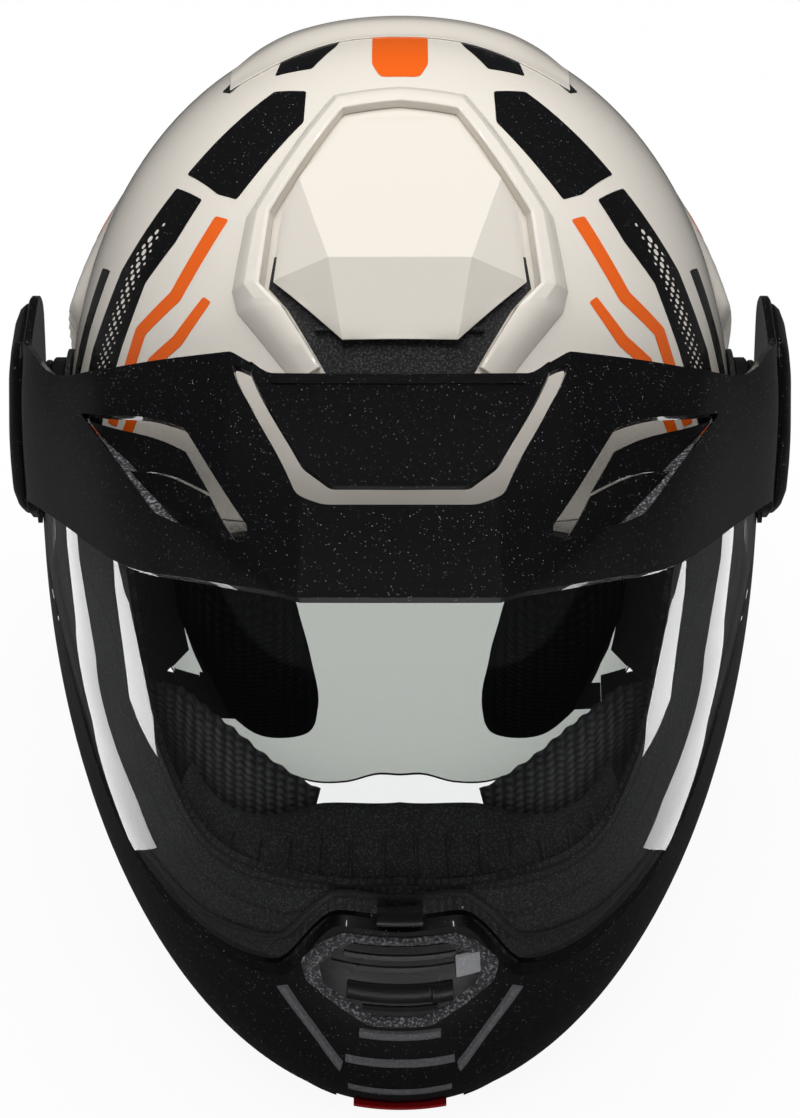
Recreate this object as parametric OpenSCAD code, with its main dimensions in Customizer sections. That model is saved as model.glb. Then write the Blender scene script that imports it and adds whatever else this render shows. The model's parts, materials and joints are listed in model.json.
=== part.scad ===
/* [Shell] */
// Half width of the shell behind the hinges
skirt_half_w = 128; // [124:0.5:129]
// Distance from the hinge axis to the brow edge
brow_r = 145; // [142:0.5:147]
// How far the crown stands out beyond the brow's distance
crown_rise = 4; // [1:0.5:6]
// How far the back of the head stands out beyond the brow's distance
back_rise = 15; // [11:0.5:21]
// Height of the hinge axis above the bottom edge
axis_h = 118; // [112:1:124]
// Distance from the hinge axis forward to the shell's front corner on the bottom edge
corner_y = 46; // [42:1:50]
// Thickness of the shell's wall
shell_t = 3; // [2.2:0.2:3.6]

/* [Liner] */
// Depth of the slot between shell and foam in which the sun visor runs
slot_depth = 12; // [11:0.5:14]
// Thickness of the foam at the sides, with the slot beside it
foam_side_t = 38; // [34:1:42]
// Thickness of the crown pad
crown_pad_t = 8; // [5:0.5:10]
// Width of each cheek pad, from the foam to the cheek
cheek_pad_w = 44; // [36:1:46]
// Radius of the neck roll
neck_roll_r = 7; // [5:0.5:9]

/* [Chin bar and face shield] */
// How far the chin's lowest front edge stands out beyond the brow's distance
chin_rise = 99; // [91:1:105]
// Thickness of the chin bar's wall
chin_t = 3.2; // [2.4:0.2:3.4]
// Thickness of the face shield
shield_t = 2.2; // [1.8:0.2:2.4]
// Gap between the chin bar's bottom edge and the surface that the helmet rests on
chin_lift = 2; // [1:0.5:4]
// Thickness of the chin bar's foam
chin_foam_t = 16; // [12:1:18]
// Travel of the release button
button_travel = 2.5; // [1.5:0.25:2.75]

/* [Peak] */
// Distance from the hinge axis to the peak's front edge, forward
peak_reach = 224; // [214:1:234]
// Height of the peak's front edge above the hinge axis
peak_rise = 126; // [122:1:130]
// Thickness of the peak
peak_t = 3; // [2.4:0.2:3.4]
// Thickness of each side cover over the peak's arms
cover_t = 6; // [4:0.5:7]

/* [Sun visor] */
// Thickness of the sun visor
visor_t = 2; // [1.6:0.2:2.2]
// Travel of the slider that works the sun visor
slider_travel = 30; // [24:1:34]

/* [Hinge] */
// Radius of the fixed hinge pin
pin_r = 5; // [4:0.5:5.5]
// Outer radius of the chin bar's boss, on which the face shield turns
boss_r = 9; // [8:0.5:10]
// Radius of the chin bar's and the shield's round hinge ends
hub_r = 30; // [28:0.5:31]
// Running clearance of pins and bosses in their bores
running_gap = 0.06; // [0.03:0.01:0.1]

/* [Hidden] */
$fn = 64;

// Where the hinge axis lies in the model's frame
axis_y = 32;
// Gap that keeps neighbouring pieces clear
gap = 0.3;
// Gaps round the foam, whose facets are larger, outside and inside
foam_gap = 2.2;
pad_gap = 0.9;
// How full the shell's outline is, seen from the front: 2 is an ellipse
shell_fullness = 2.15;

// The skins nest about the hinge axis: each takes its place from the shell's half width and the brow
shell_half_w = skirt_half_w - 8;
pocket_x = skirt_half_w - 10;
face_half_w = skirt_half_w + 1;
foam_half_w = skirt_half_w - foam_side_t;
crown_r = brow_r + crown_rise;
back_r = brow_r + back_rise;
chin_r = brow_r + chin_rise;
visor_r = brow_r - 8;

// Evenly spaced lateral angles from one side to the other
function strip_b(k, half, steps) = half * (2 * k / steps - 1);
// Every direction is a pitch angle from straight ahead, upwards, and a lateral angle towards +X
function dir(a, b) = [sin(b), -cos(b) * cos(a), cos(b) * sin(a)];
function unit(v) = v / norm(v);
function mirror_x(p) = [-p[0], p[1], p[2]];
function mirror_list(l) = [for (i = [len(l) - 1 : -1 : 0]) mirror_x(l[i])];

// Smooth curve through the points of a table of [position, value]
function segment(t, x, i = 0) = i >= len(t) - 2 || x < t[i + 1][0] ? i : segment(t, x, i + 1);
function slope(t, i) =
    let (lo = max(i - 1, 0), hi = min(i + 1, len(t) - 1)) (t[hi][1] - t[lo][1]) / (t[hi][0] - t[lo][0]);
function curve(t, x) =
    let (i = segment(t, x), h = t[i + 1][0] - t[i][0], s = (x - t[i][0]) / h)
    (2 * s^3 - 3 * s^2 + 1) * t[i][1] + (s^3 - 2 * s^2 + s) * h * slope(t, i)
    + (-2 * s^3 + 3 * s^2) * t[i + 1][1] + (s^3 - s^2) * h * slope(t, i + 1);

// Smooth curve through a list of points, where t runs from 0 to the last point's number
function spline(p, t) =
    let (n = len(p), i = min(floor(t), n - 2), s = t - i,
         m0 = i == 0 ? p[1] - p[0] : (p[i + 1] - p[i - 1]) / 2,
         m1 = i == n - 2 ? p[n - 1] - p[n - 2] : (p[i + 2] - p[i]) / 2)
    (2 * s^3 - 3 * s^2 + 1) * p[i] + (s^3 - 2 * s^2 + s) * m0
    + (-2 * s^3 + 3 * s^2) * p[i + 1] + (s^3 - s^2) * m1;
function spline_points(p, steps) = [for (k = [0 : steps]) spline(p, k * (len(p) - 1) / steps)];

function slerp(a, b, t) = let (w = acos(min(1, a * b))) (sin((1 - t) * w) * a + sin(t * w) * b) / sin(w);
function ramp(x, lo, hi) = let (s = min(1, max(0, (x - lo) / (hi - lo)))) s * s * (3 - 2 * s);

// Distance from the hinge axis' middle to a surface whose side profile is a table of radii
function pitch(d) = let (a = atan2(d[2], -d[1])) a < -90 ? a + 360 : a;
function reach(d, r, w, p) = pow(pow(abs(d[0]) / w, p) + pow(norm([d[1], d[2]]) / r, p), -1 / p);

// Side profiles: pitch angle and radius
skirt_r = axis_h * 2.47;
shell_profile = [[-115, back_r + 68], [-90, skirt_r], [-68, brow_r + 88], [-45, brow_r + 58],
                 [-20, brow_r + 35], [0, brow_r + 15], [26, brow_r], [50, brow_r - 1], [75, crown_r - 3],
                 [100, crown_r], [125, crown_r + 1], [150, back_r - 5], [165, back_r - 1], [180, back_r],
                 [200, back_r - 4], [224, back_r + 6], [245, back_r + 68], [270, skirt_r],
                 [292, brow_r + 88]];
shell_width = [[-115, skirt_half_w - 1], [-90, skirt_half_w - 1], [-68, skirt_half_w - 3],
               [-55, shell_half_w + 1], [-40, shell_half_w], [139, shell_half_w],
               [152, skirt_half_w - 1], [180, skirt_half_w], [245, skirt_half_w],
               [270, skirt_half_w - 1], [292, skirt_half_w - 3]];
pocket_r = 46;
face_profile = [[-90, chin_r + 44], [-64, chin_r - 5], [-45, chin_r - 11], [-34, chin_r - 12],
                [-28, chin_r], [-20, chin_r - 13], [-12, chin_r - 31], [0, brow_r + 43],
                [15, brow_r + 23], [26, brow_r + 14], [36, brow_r + 11], [60, brow_r + 8],
                [120, brow_r + 8], [180, brow_r + 35], [270, chin_r + 44]];
face_fullness = [[-90, 2], [-20, 2], [30, 2.2], [270, 2.2]];
foam_profile = [[-90, 168], [0, brow_r - 37], [26, brow_r - 35], [60, crown_r - 37], [90, crown_r - 32],
                [120, crown_r - 28], [150, back_r - 36], [180, back_r - 35], [225, back_r - 20], [270, 168]];
foam_fullness = 2.2;

// The flat pocket ends at its radius behind the hinge, where the shell stands out beside the chin bar's arms
function behind(a) = a < 0 ? 1 - ramp(a, -74, -64) : ramp(a, 140, 152);
function shell_at(d) =
    let (a = pitch(d), side = max(abs(d[0]), 0.01), off = norm([d[1], d[2]]) * pocket_x / side)
    min(reach(d, curve(shell_profile, a), curve(shell_width, a), shell_fullness),
        (pocket_x + 14 * behind(a) * ramp(off, pocket_r, pocket_r + 12)) / side);
function face_at(d) =
    let (a = pitch(d)) reach(d, curve(face_profile, a), face_half_w, lookup(a, face_fullness));
function foam_at(d) = reach(d, curve(foam_profile, pitch(d)), foam_half_w, foam_fullness);
visor_half_w = pocket_x - 7;
function visor_at(d) = reach(d, visor_r, visor_half_w, shell_fullness);
function slot_at(d) =
    let (a = pitch(d))
    slot_depth * max(ramp(a, -75, -50) * (1 - ramp(a, 98, 122)), 1 - ramp(norm([d[1], d[2]]), 0.15, 0.26));
function foam_outer_at(d) = shell_at(d) - shell_t - foam_gap - slot_at(d);

function on_shell(ab, h) = let (d = dir(ab[0], ab[1])) d * (shell_at(d) + h);
function on_face(ab, h) = let (d = dir(ab[0], ab[1])) d * (face_at(d) + h);

// Half width of each surface at a point of its side, given forward and up
function half_width(y, z, w, r, p) = w * pow(max(0, 1 - pow(norm([y, z]) / r, p)), 1 / p);
function shell_x(y, z) =
    let (a = pitch([0, y, z]))
    min(half_width(y, z, curve(shell_width, a), curve(shell_profile, a), shell_fullness),
        pocket_x + 14 * behind(a) * ramp(norm([y, z]), pocket_r, pocket_r + 12));
function face_x(y, z) =
    let (a = pitch([0, y, z]))
    half_width(y, z, face_half_w, curve(face_profile, a), lookup(a, face_fullness));
function foam_x(y, z) =
    half_width(y, z, foam_half_w, curve(foam_profile, pitch([0, y, z])), foam_fullness);

// Solid between two grids of points with the same rows and columns
module skin(outer, inner) {
    m = len(outer);
    n = len(outer[0]);
    o = m * n;
    loop = concat([for (j = [0 : n - 1]) j], [for (i = [1 : m - 1]) i * n + n - 1],
                  [for (j = [n - 2 : -1 : 0]) (m - 1) * n + j], [for (i = [m - 2 : -1 : 1]) i * n]);
    faces = concat(
        [for (i = [0 : m - 2], j = [0 : n - 2]) let (a = i * n + j)
            each [[a, a + n, a + 1], [a + 1, a + n, a + n + 1],
                  [o + a, o + a + 1, o + a + n], [o + a + 1, o + a + n + 1, o + a + n]]],
        [for (k = [0 : len(loop) - 1]) let (p = loop[k], q = loop[(k + 1) % len(loop)])
            each [[p, q, o + q], [p, o + q, o + p]]]);
    polyhedron(concat([for (r = outer) each r], [for (r = inner) each r]), faces, convexity = 8);
}

// Solid between two dishes of rings round a middle point
module dish(outer_mid, outer, inner_mid, inner) {
    m = len(outer);
    n = len(outer[0]);
    o = m * n;
    faces = concat(
        [for (i = [0 : m - 2], j = [0 : n - 1]) let (a = i * n + j, b = i * n + (j + 1) % n)
            each [[a, b, b + n], [a, b + n, a + n],
                  [o + a, o + b + n, o + b], [o + a, o + a + n, o + b + n]]],
        [for (j = [0 : n - 1]) let (k = (j + 1) % n)
            each [[2 * o, k, j], [2 * o + 1, o + j, o + k],
                  [(m - 1) * n + j, (m - 1) * n + k, o + (m - 1) * n + k],
                  [(m - 1) * n + j, o + (m - 1) * n + k, o + (m - 1) * n + j]]]);
    polyhedron(concat([for (r = outer) each r], [for (r = inner) each r], [outer_mid, inner_mid]),
               faces, convexity = 8);
}

// Solid swept through sections of equal length; closed joins the last one to the first
module sweep(rings, closed = false) {
    m = len(rings);
    n = len(rings[0]);
    faces = concat(
        [for (i = [0 : m - (closed ? 1 : 2)], j = [0 : n - 1])
            let (a = i * n + j, b = i * n + (j + 1) % n, c = ((i + 1) % m) * n + j,
                 d = ((i + 1) % m) * n + (j + 1) % n)
            each [[a, c, b], [b, c, d]]],
        closed ? [] : [[for (j = [0 : n - 1]) j], [for (j = [n - 1 : -1 : 0]) (m - 1) * n + j]]);
    polyhedron([for (r = rings) each r], faces, convexity = 8);
}

module place() translate([0, axis_y, axis_h]) children();
module sides() { children(); mirror([1, 0, 0]) children(); }
// Cylinder along X on the side, from one distance off the middle to another
module axle(r, x0, x1, y = 0, z = 0) translate([x0, y, z]) rotate([0, 90, 0]) cylinder(r = r, h = x1 - x0);

// Direction to the bottom edge in plan direction f, for a surface that ends at height -h
function rim_dir(f, h, kind, step = 0, e = -40) =
    let (d = [cos(e) * cos(f), cos(e) * sin(f), sin(e)],
         r = (kind == "shell" ? shell_at(d) : kind == "foam" ? foam_outer_at(d) : foam_at(d)) * cos(e))
    step == 6 ? d : rim_dir(f, h, kind, step + 1, -atan2(h, r));

// Right half of the face opening in the shell, from the bottom edge to the brow: pitch, lateral
opening_edge = [[-67, 41.5], [-55, 50], [-38, 53], [-17, 53], [3, 48.5], [16, 38.6], [22.5, 25],
                [25.3, 12], [26, 0]];
// Number of steps along the brow's half and along the bottom edge
shell_steps = [13, 38];
foam_steps = [10, 26];
corner_f = -atan2(corner_y, skirt_half_w - 11);
function opening_dirs(back, up, n) =
    [for (k = [1 : n]) let (p = spline(opening_edge, k * (len(opening_edge) - 1) / n), s = k / n)
        dir(p[0] + up * ramp(s, 0.35, 0.9), p[1] + back * (1 - ramp(s, 0.6, 1)))];
function edge_loop(h, kind, back, up, steps) =
    let (n = steps[0], m = steps[1], right = opening_dirs(back, up, n))
    concat([for (k = [0 : m]) rim_dir(corner_f + (180 - 2 * corner_f) * k / m, h, kind)],
           [for (k = [0 : n - 1]) mirror_x(right[k])], [for (k = [n - 2 : -1 : 0]) right[k]]);

top_dir = dir(112, 0);
shell_rings = 13;
foam_rings = 9;

module outer_shell_form() {
    edge = edge_loop(axis_h - 3, "shell", 0, 0, shell_steps);
    grid = [for (i = [1 : shell_rings]) [for (b = edge) slerp(top_dir, b, i / shell_rings)]];
    dish(top_dir * shell_at(top_dir), [for (r = grid) [for (d = r) d * shell_at(d)]],
         top_dir * (shell_at(top_dir) - shell_t), [for (r = grid) [for (d = r) d * (shell_at(d) - shell_t)]]);
}

// Screws that hold each hinge base to the shell: distance from the axis and their angles
base_screw_r = 22;
base_screw_angles = [90, 210, 330];
module base_screw_places() for (t = base_screw_angles)
    translate([0, base_screw_r * cos(t), base_screw_r * sin(t)]) children();

module outer_shell() color([0.87, 0.83, 0.76]) place() difference() {
    outer_shell_form();
    sides() axle(hub_r + 3.2, pocket_x - 0.02, pocket_x + 8);
    base_screw_places() axle(2.1, -skirt_half_w - 10, skirt_half_w + 10);
}

foam_h = axis_h - 17;
module eps_form() {
    edge = edge_loop(foam_h, "foam", 2, 2, foam_steps);
    grid = [for (i = [1 : foam_rings]) [for (b = edge) slerp(top_dir, b, i / foam_rings)]];
    dish(top_dir * foam_outer_at(top_dir), [for (r = grid) [for (d = r) d * foam_outer_at(d)]],
         top_dir * foam_at(top_dir), [for (r = grid) [for (d = r) d * foam_at(d)]]);
}
module eps_liner() color([0.13, 0.13, 0.14]) place() difference() {
    eps_form();
    sides() translate([lock_x - 6, -corner_y - 4, lock_z - 12]) cube([30, 17, 24]);
}

// Padded cap inside the foam: its edge is given by plan direction and pitch from the horizontal
module crown_pad() color([0.16, 0.17, 0.18]) place() {
    steps = 32;
    rows = 7;
    mid = dir(95, 0);
    edge = [for (k = [0 : steps - 1]) let (f = 360 * k / steps, e = 18 - 16 * sin(f) + 4 * cos(2 * f))
        [cos(e) * cos(f), cos(e) * sin(f), sin(e)]];
    grid = [for (i = [1 : rows]) [for (b = edge) slerp(mid, b, i / rows)]];
    back = function (d) foam_at(d) - 2 * pad_gap;
    swell = function (i) crown_pad_t * (i < rows - 1 ? 1 : 0.45);
    dish(mid * back(mid), [for (r = grid) [for (d = r) d * back(d)]], mid * (back(mid) - crown_pad_t),
         [for (i = [0 : rows - 1]) [for (d = grid[i]) d * (back(d) - swell(i))]]);
}

// Cheek pad: sections from front to back, each a rounded block that lies against the foam.
// A row gives the place forward, the middle's height over the bottom edge, half the height and the
// share of the full width.
cheek_rows = [[-80, 70, 22, 0.4], [-74, 68, 31, 0.75], [-58, 66, 39, 1], [-34, 65, 42, 1],
              [-8, 66, 42, 0.95], [16, 69, 39, 0.8], [32, 73, 31, 0.55], [40, 75, 22, 0.3]];
module cheek_pad() {
    rows = len(cheek_rows) * 2 - 1;
    corners = 14;
    sweep([for (k = [0 : rows - 1]) let (row = spline(cheek_rows, k / 2), half_w = cheek_pad_w * row[3] / 2)
        [for (j = [0 : corners - 1])
            let (c = cos(360 * j / corners), s = sin(360 * j / corners),
                 z = row[1] - axis_h + row[2] * sign(s) * pow(abs(s), 0.75),
                 across = half_w * (1 + sign(c) * pow(abs(c), 0.7)))
            [foam_x(row[0], z) - pad_gap - across, row[0], z]]]);
}
module cheek_pad_right() color([0.09, 0.09, 0.1]) place() cheek_pad();
module cheek_pad_left() color([0.09, 0.09, 0.1]) place() mirror([1, 0, 0]) cheek_pad();

// Neck roll: a padded tube along the inside of the bottom edge, round the back
module neck_roll() color([0.12, 0.12, 0.13]) place() {
    steps = 28;
    corners = 12;
    squash = 1.3;
    sweep([for (k = [0 : steps])
        let (f = 25 + 130 * k / steps, out = [cos(f), sin(f), 0], d = rim_dir(f, foam_h, "foam"),
             p = d * foam_outer_at(d), r = neck_roll_r * (k == 0 || k == steps ? 0.6 : 1),
             mid = [p[0], p[1], -foam_h - 2] - out * (squash * neck_roll_r + 1.7))
        [for (j = [0 : corners - 1]) let (t = -360 * j / corners)
            mid + out * squash * r * cos(t) + [0, 0, r * sin(t)]]]);
}

// Rubber edging round the bottom edge of the shell: a channel that the shell's edge sits in
trim_lip = 1.3;
trim_h = 9;
function rim_radius(f, h, depth) =
    let (d = rim_dir(f, h, "shell"), p = d * (shell_at(d) - depth)) norm([p[0], p[1]]);
module shell_edge_trim() color([0.05, 0.05, 0.05]) place() {
    steps = 46;
    from = corner_f + 0.6;
    sweep([for (k = [0 : steps])
        let (f = from + (180 - 2 * from) * k / steps, out = [cos(f), sin(f), 0],
             a = rim_radius(f, axis_h - 3, 0) + gap,
             a_top = rim_radius(f, axis_h - trim_h, 0) + gap + 0.5 * ramp(sin(f), 0.55, 0.8),
             b = rim_radius(f, axis_h - 3, shell_t) - 2 * gap,
             b_top = min(b, rim_radius(f, axis_h - trim_h, shell_t) - 2 * gap))
        [for (s = [[a + trim_lip - 0.4, 0], [b - trim_lip + 0.4, 0], [b - trim_lip, 0.8],
                   [b_top - trim_lip, trim_h - 1], [b_top, trim_h - 1], [b, 2.7], [a, 2.7], [a_top, trim_h],
                   [a_top + trim_lip, trim_h], [a + trim_lip, 0.8]])
            out * s[0] + [0, 0, s[1] - axis_h]]]);
}

// Rubber seal on the shell's brow, against which the face shield closes
module brow_gasket() color([0.04, 0.04, 0.04]) place() {
    steps = 30;
    half = 34;
    rows = [0, 1.2, 3];
    drops = [0.4, 0.4, 2];
    brow_line = [[0, 26], [12, 25.3], [25, 22.5], [38.6, 16], [48.5, 3]];
    edge_pitch = function (b) curve(brow_line, abs(b)) + 0.3;
    outer = [for (i = [0 : 2]) [for (k = [0 : steps]) let (b = -half + 2 * half * k / steps)
        on_face([edge_pitch(b) + rows[i], b], -shield_t - drops[i])]];
    inner = [for (i = [0 : 2]) [for (k = [0 : steps]) let (b = -half + 2 * half * k / steps)
        on_shell([edge_pitch(b) + rows[i], b], gap / 2)]];
    skin(outer, inner);
}

// Plate on a surface: rings of a loop of pitch and lateral angles, each drawn in towards the middle
function loop_mid(l) = [for (k = [0, 1]) (min([for (p = l) p[k]]) + max([for (p = l) p[k]])) / 2];
function fine_loop(l, n) = [for (k = [0 : len(l) - 1], s = [0 : n - 1])
    l[k] + (l[(k + 1) % len(l)] - l[k]) * s / n];
module plate_on(kind, loop, levels, base, n = 3) {
    mid = loop_mid(loop);
    turned = fine_loop(loop, n);
    fine = [for (k = [len(turned) - 1 : -1 : 0]) turned[k]];
    function at(ab, h) = kind == "shell" ? on_shell(ab, h) : on_face(ab, h);
    dish(at(mid, levels[0][1]), [for (l = levels) [for (p = fine) at(mid + (p - mid) * l[0], l[1])]],
         at(mid, base), [for (l = levels) [for (p = fine) at(mid + (p - mid) * l[0], base)]]);
}
// Frame on a surface: swept round a loop, with an inner and an outer scale and a height
module frame_on(kind, loop, inner, top, base, slope = 0.04, n = 3) {
    mid = loop_mid(loop);
    fine = fine_loop(loop, n);
    function at(ab, h) = kind == "shell" ? on_shell(ab, h) : on_face(ab, h);
    sweep([for (p = fine) [for (q = [[1, base], [1 - slope, top], [inner + slope, top], [inner, base]])
        at(mid + (p - mid) * q[0], q[1])]], closed = true);
}
function both(l) = concat(l, [for (i = [len(l) - 1 : -1 : 0]) [l[i][0], -l[i][1]]]);

// Outlines of the crown's vent, front to back on the right side: pitch, lateral
vent_frame = both([[90, 8], [72.5, 20], [60, 21.8], [49, 13]]);
vent_cover = both([[86.5, 7], [72, 15.4], [61.8, 16.8], [53, 7.4]]);
// Height of the frame on which the cover slides
vent_seat_h = 1.9;
module top_vent_base() color([0.85, 0.81, 0.74]) place() {
    frame_on("shell", vent_frame, 0.8, vent_seat_h, 2 * gap);
    frame_on("shell", vent_cover, 0.55, vent_seat_h - 0.5, 2 * gap, 0.02);
}
module top_vent_cover() color([0.88, 0.85, 0.78]) place()
    plate_on("shell", vent_cover, [[0.3, 5.6], [0.72, 5.2], [0.97, 3.6], [1, 3]], vent_seat_h + 2 * gap);

// Low spoiler across the back of the crown: it rises to its rear edge and fades out at its ends
spoiler_h = 2.6;
module rear_spoiler() color([0.06, 0.06, 0.06]) place() {
    steps = 22;
    half = 24;
    rows = [0, 0.12, 0.55, 1];
    rise = [0.3, 0.55, 1, 1];
    bs = [for (k = [0 : steps]) strip_b(k, half, steps)];
    front = function (b) 110 - 4 * ramp(abs(b), 6, half);
    rear = function (b) 123 + 1.5 * ramp(abs(b), 4, 18) - 7 * ramp(abs(b), 19, half);
    tall = function (i, b) spoiler_h * rise[i] * (1 - 0.6 * ramp(abs(b), 14, half));
    at = function (i, b, h) on_shell([front(b) + (rear(b) - front(b)) * rows[i], b], h);
    skin([for (i = [0 : 3]) [for (b = bs) at(i, b, max(tall(i, b), 0.6))]],
         [for (i = [0 : 3]) [for (b = bs) at(i, b, 0.3)]]);
}
exhaust_outline = both([[160, 9], [150, 16], [141, 12]]);
module rear_exhaust_vent() color([0.06, 0.06, 0.06]) place() {
    frame_on("shell", exhaust_outline, 0.7, 3.2, 0.4, 0.08);
    for (k = [-1 : 1]) sweep([for (a = [144.6 : 3 : 156.6])
        [for (q = [[-0.8, 0.2], [0.8, 0.2], [0.8, 1.8], [-0.8, 1.8]]) on_shell([a, 4 * k - q[0]], q[1])]]);
}

// Hinge stack on each side, from the shell outwards
base_t = 1.5;
chin_hub_x = pocket_x + base_t + 0.5;
chin_hub_t = 4.8;
shield_hub_x = chin_hub_x + chin_hub_t + 0.6;
shield_hub_t = 2.4;
pod_x = shield_hub_x + shield_hub_t + 2.2;
pod_t = 3.5;
pin_end_x = pod_x - 2.6;
screw_r = 3;

module hinge_base() {
    difference() {
        axle(hub_r + 3, pocket_x, pocket_x + base_t);
        base_screw_places() axle(2.1, pocket_x - 1, pocket_x + 10);
    }
    axle(pin_r + 3, pocket_x + base_t, chin_hub_x - 0.02);
    axle(pin_r, pocket_x + base_t, pin_end_x);
}
module hinge_base_right() color([0.55, 0.56, 0.58]) place() hinge_base();
module hinge_base_left() color([0.55, 0.56, 0.58]) place() mirror([1, 0, 0]) hinge_base();
module hinge_screws() color([0.6, 0.6, 0.62]) place() sides() base_screw_places() {
    axle(1.9, pocket_x - shell_t - 1, pocket_x + base_t - 0.9);
    axle(2.05, pocket_x + base_t - 1, pocket_x + base_t);
}

// Lock pins stand on brackets, each screwed to the inside of the shell's front corner
lock_y = -corner_y - 14;
lock_z = 23 - axis_h;
lock_x = skirt_half_w - 32;
bracket_x = lock_x + 4;
bracket_t = 2.5;
bracket_half_h = 7.5;
bracket_screw_y = 5 - corner_y;
module lock_bracket() {
    ys = [lock_y - 6, lock_y + 4, -corner_y - 4, 0.5 - corner_y, 5 - corner_y, 10 - corner_y];
    zs = [for (k = [-1 : 0.5 : 1]) lock_z + bracket_half_h * k];
    face = function (y, z) y < -corner_y ? bracket_x + bracket_t : shell_x(y, z) - shell_t - 3 * gap;
    skin([for (z = zs) [for (y = ys) [face(y, z), y, z]]], [for (z = zs) [for (y = ys) [bracket_x, y, z]]]);
}
module lock_pins() color([0.7, 0.7, 0.72]) place() sides() {
    difference() {
        lock_bracket();
        axle(1.6, bracket_x - 1, bracket_x + 20, bracket_screw_y, lock_z);
    }
    axle(2.5, lock_x - 0.5, bracket_x, lock_y, lock_z);
}

// Flat band along hand-chosen points, with its width along Y
module band(points, w, t, steps = 16) {
    path = spline_points(points, steps);
    sweep([for (k = [0 : steps]) let (a = path[max(k - 1, 0)], b = path[min(k + 1, steps)],
        u = unit([b[0] - a[0], 0, b[2] - a[2]]), up = [-u[2], 0, u[0]] * (u[0] < 0 ? -1 : 1))
        [for (q = [[-1, -0.6], [-0.9, -1], [0.9, -1], [1, -0.6], [1, 0.6], [0.9, 1], [-0.9, 1], [-1, 0.6]])
            path[k] + [0, q[0] * w / 2, 0] + up * q[1] * t / 2]]);
}
strap_w = 20;
strap_t = 3.6;
strap_x = skirt_half_w - 20;
strap_z = 7 - axis_h;
strap_route = [[strap_x, -8, strap_z + 3], [strap_x - 8, -10, strap_z + 0.5], [strap_x - 18, -14, strap_z],
               [strap_x - 30, -18, strap_z]];
module strap_run() band([for (p = strap_route) mirror_x(p)], strap_w, strap_t);
module strap_right() color([0.08, 0.08, 0.08]) place() mirror([1, 0, 0]) strap_run();
module strap_left() color([0.08, 0.08, 0.08]) place() strap_run();
// Each strap hangs on a steel plate that a rivet holds to the shell
rivet_y = -8;
rivet_z = strap_z + 4.8;
anchor_x = strap_x + 0.8;
anchor_t = 1.6;
module strap_anchors() color([0.5, 0.5, 0.52]) place() sides() {
    translate([anchor_x, rivet_y - 9, rivet_z - 5]) cube([anchor_t, 18, 9]);
    axle(3.5, anchor_x + anchor_t, shell_x(rivet_y, rivet_z) - shell_t - 2 * gap, rivet_y, rivet_z);
}

// Buckle on the left strap: a slotted body with two ears, and a lever that turns between them
buckle_x = strap_x - 30.3;
buckle_size = [28, 20, 5.4];
buckle_y = -28;
buckle_z = strap_z - 3;
ear_t = 2;
ear_r = 3.2;
lever_x = buckle_x - 14;
lever_z = buckle_z + buckle_size[2] + 3;
lever_pin_r = 1.5;
module buckle_receiver() color([0.45, 0.46, 0.48]) place() mirror([1, 0, 0]) difference() {
    union() {
        translate([buckle_x - buckle_size[0], buckle_y, buckle_z]) cube(buckle_size);
        for (y = [ear_t, buckle_size[1]]) translate([0, buckle_y + y, 0]) rotate([90, 0, 0])
            linear_extrude(ear_t) {
                translate([lever_x, lever_z]) circle(r = ear_r);
                translate([lever_x - ear_r, buckle_z + 1]) square([2 * ear_r, lever_z - buckle_z - 1]);
            }
    }
    translate([buckle_x - buckle_size[0] - 1, buckle_y + 3, buckle_z + 1.4]) cube([21, 14, 2.8]);
    translate([lever_x, buckle_y - 1, lever_z]) rotate([-90, 0, 0])
        cylinder(r = lever_pin_r + running_gap, h = buckle_size[1] + 2);
}
module buckle_lever() color([0.75, 0.06, 0.05]) place() mirror([1, 0, 0]) {
    width = buckle_size[1] - 2 * (ear_t + gap);
    translate([lever_x, buckle_y + 0.2, lever_z]) rotate([-90, 0, 0])
        cylinder(r = lever_pin_r, h = buckle_size[1] - 0.4);
    translate([lever_x, buckle_y + ear_t + gap + width, lever_z]) rotate([90, 0, 0]) linear_extrude(width)
        polygon([[2.4, -0.6], [2.4, 1.4], [0.8, 2.4], [-6, 0.4], [-14, -0.2], [-18, 2.2], [-19.4, 1.4],
                 [-15, -2.4], [-2, -2.6], [1.4, -2.2]]);
}
module buckle_ladder() color([0.1, 0.1, 0.1]) place()
translate([buckle_x - 32, buckle_y + 3.5, buckle_z + 1.5]) {
    cube([32, 13, 1.6]);
    for (k = [0 : 8]) translate([1.5 + 2.6 * k, 1.5, 1.5]) cube([1.3, 10, 0.9]);
}

// Edges of the face shield, the chin bar and the sun visor on the right half: lateral, pitch
shield_low = [[0, -9.8], [5.8, -9.8], [7.6, -11.2], [11.3, -16.2], [26, -19.4], [33, -19], [46, -13.5],
              [58, -10], [68, -14], [76, -42], [79, -56]];
shield_top = [[0, 30], [20, 29.5], [35, 30], [50, 33], [62, 38], [70, 42], [76, 55], [79, 68]];
chin_top = [[0, -7.5], [10, -8.5], [20, -9.5], [26, -6], [31, 0], [36, 12], [40, 22], [48, 27], [60, 32],
            [70, 42], [79, 64]];
visor_low = [[0, -17.5], [3.5, -17.5], [8, -21], [14, -23.5], [28, -21], [42, -8], [55, 8], [68, 16],
             [80, 4], [86, -20]];
visor_top = [[0, 44], [30, 44], [50, 48], [68, 50], [80, 52], [86, 60]];
chin_gap_y = corner_y + 2.5;
chin_z = axis_h - chin_lift;

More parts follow.
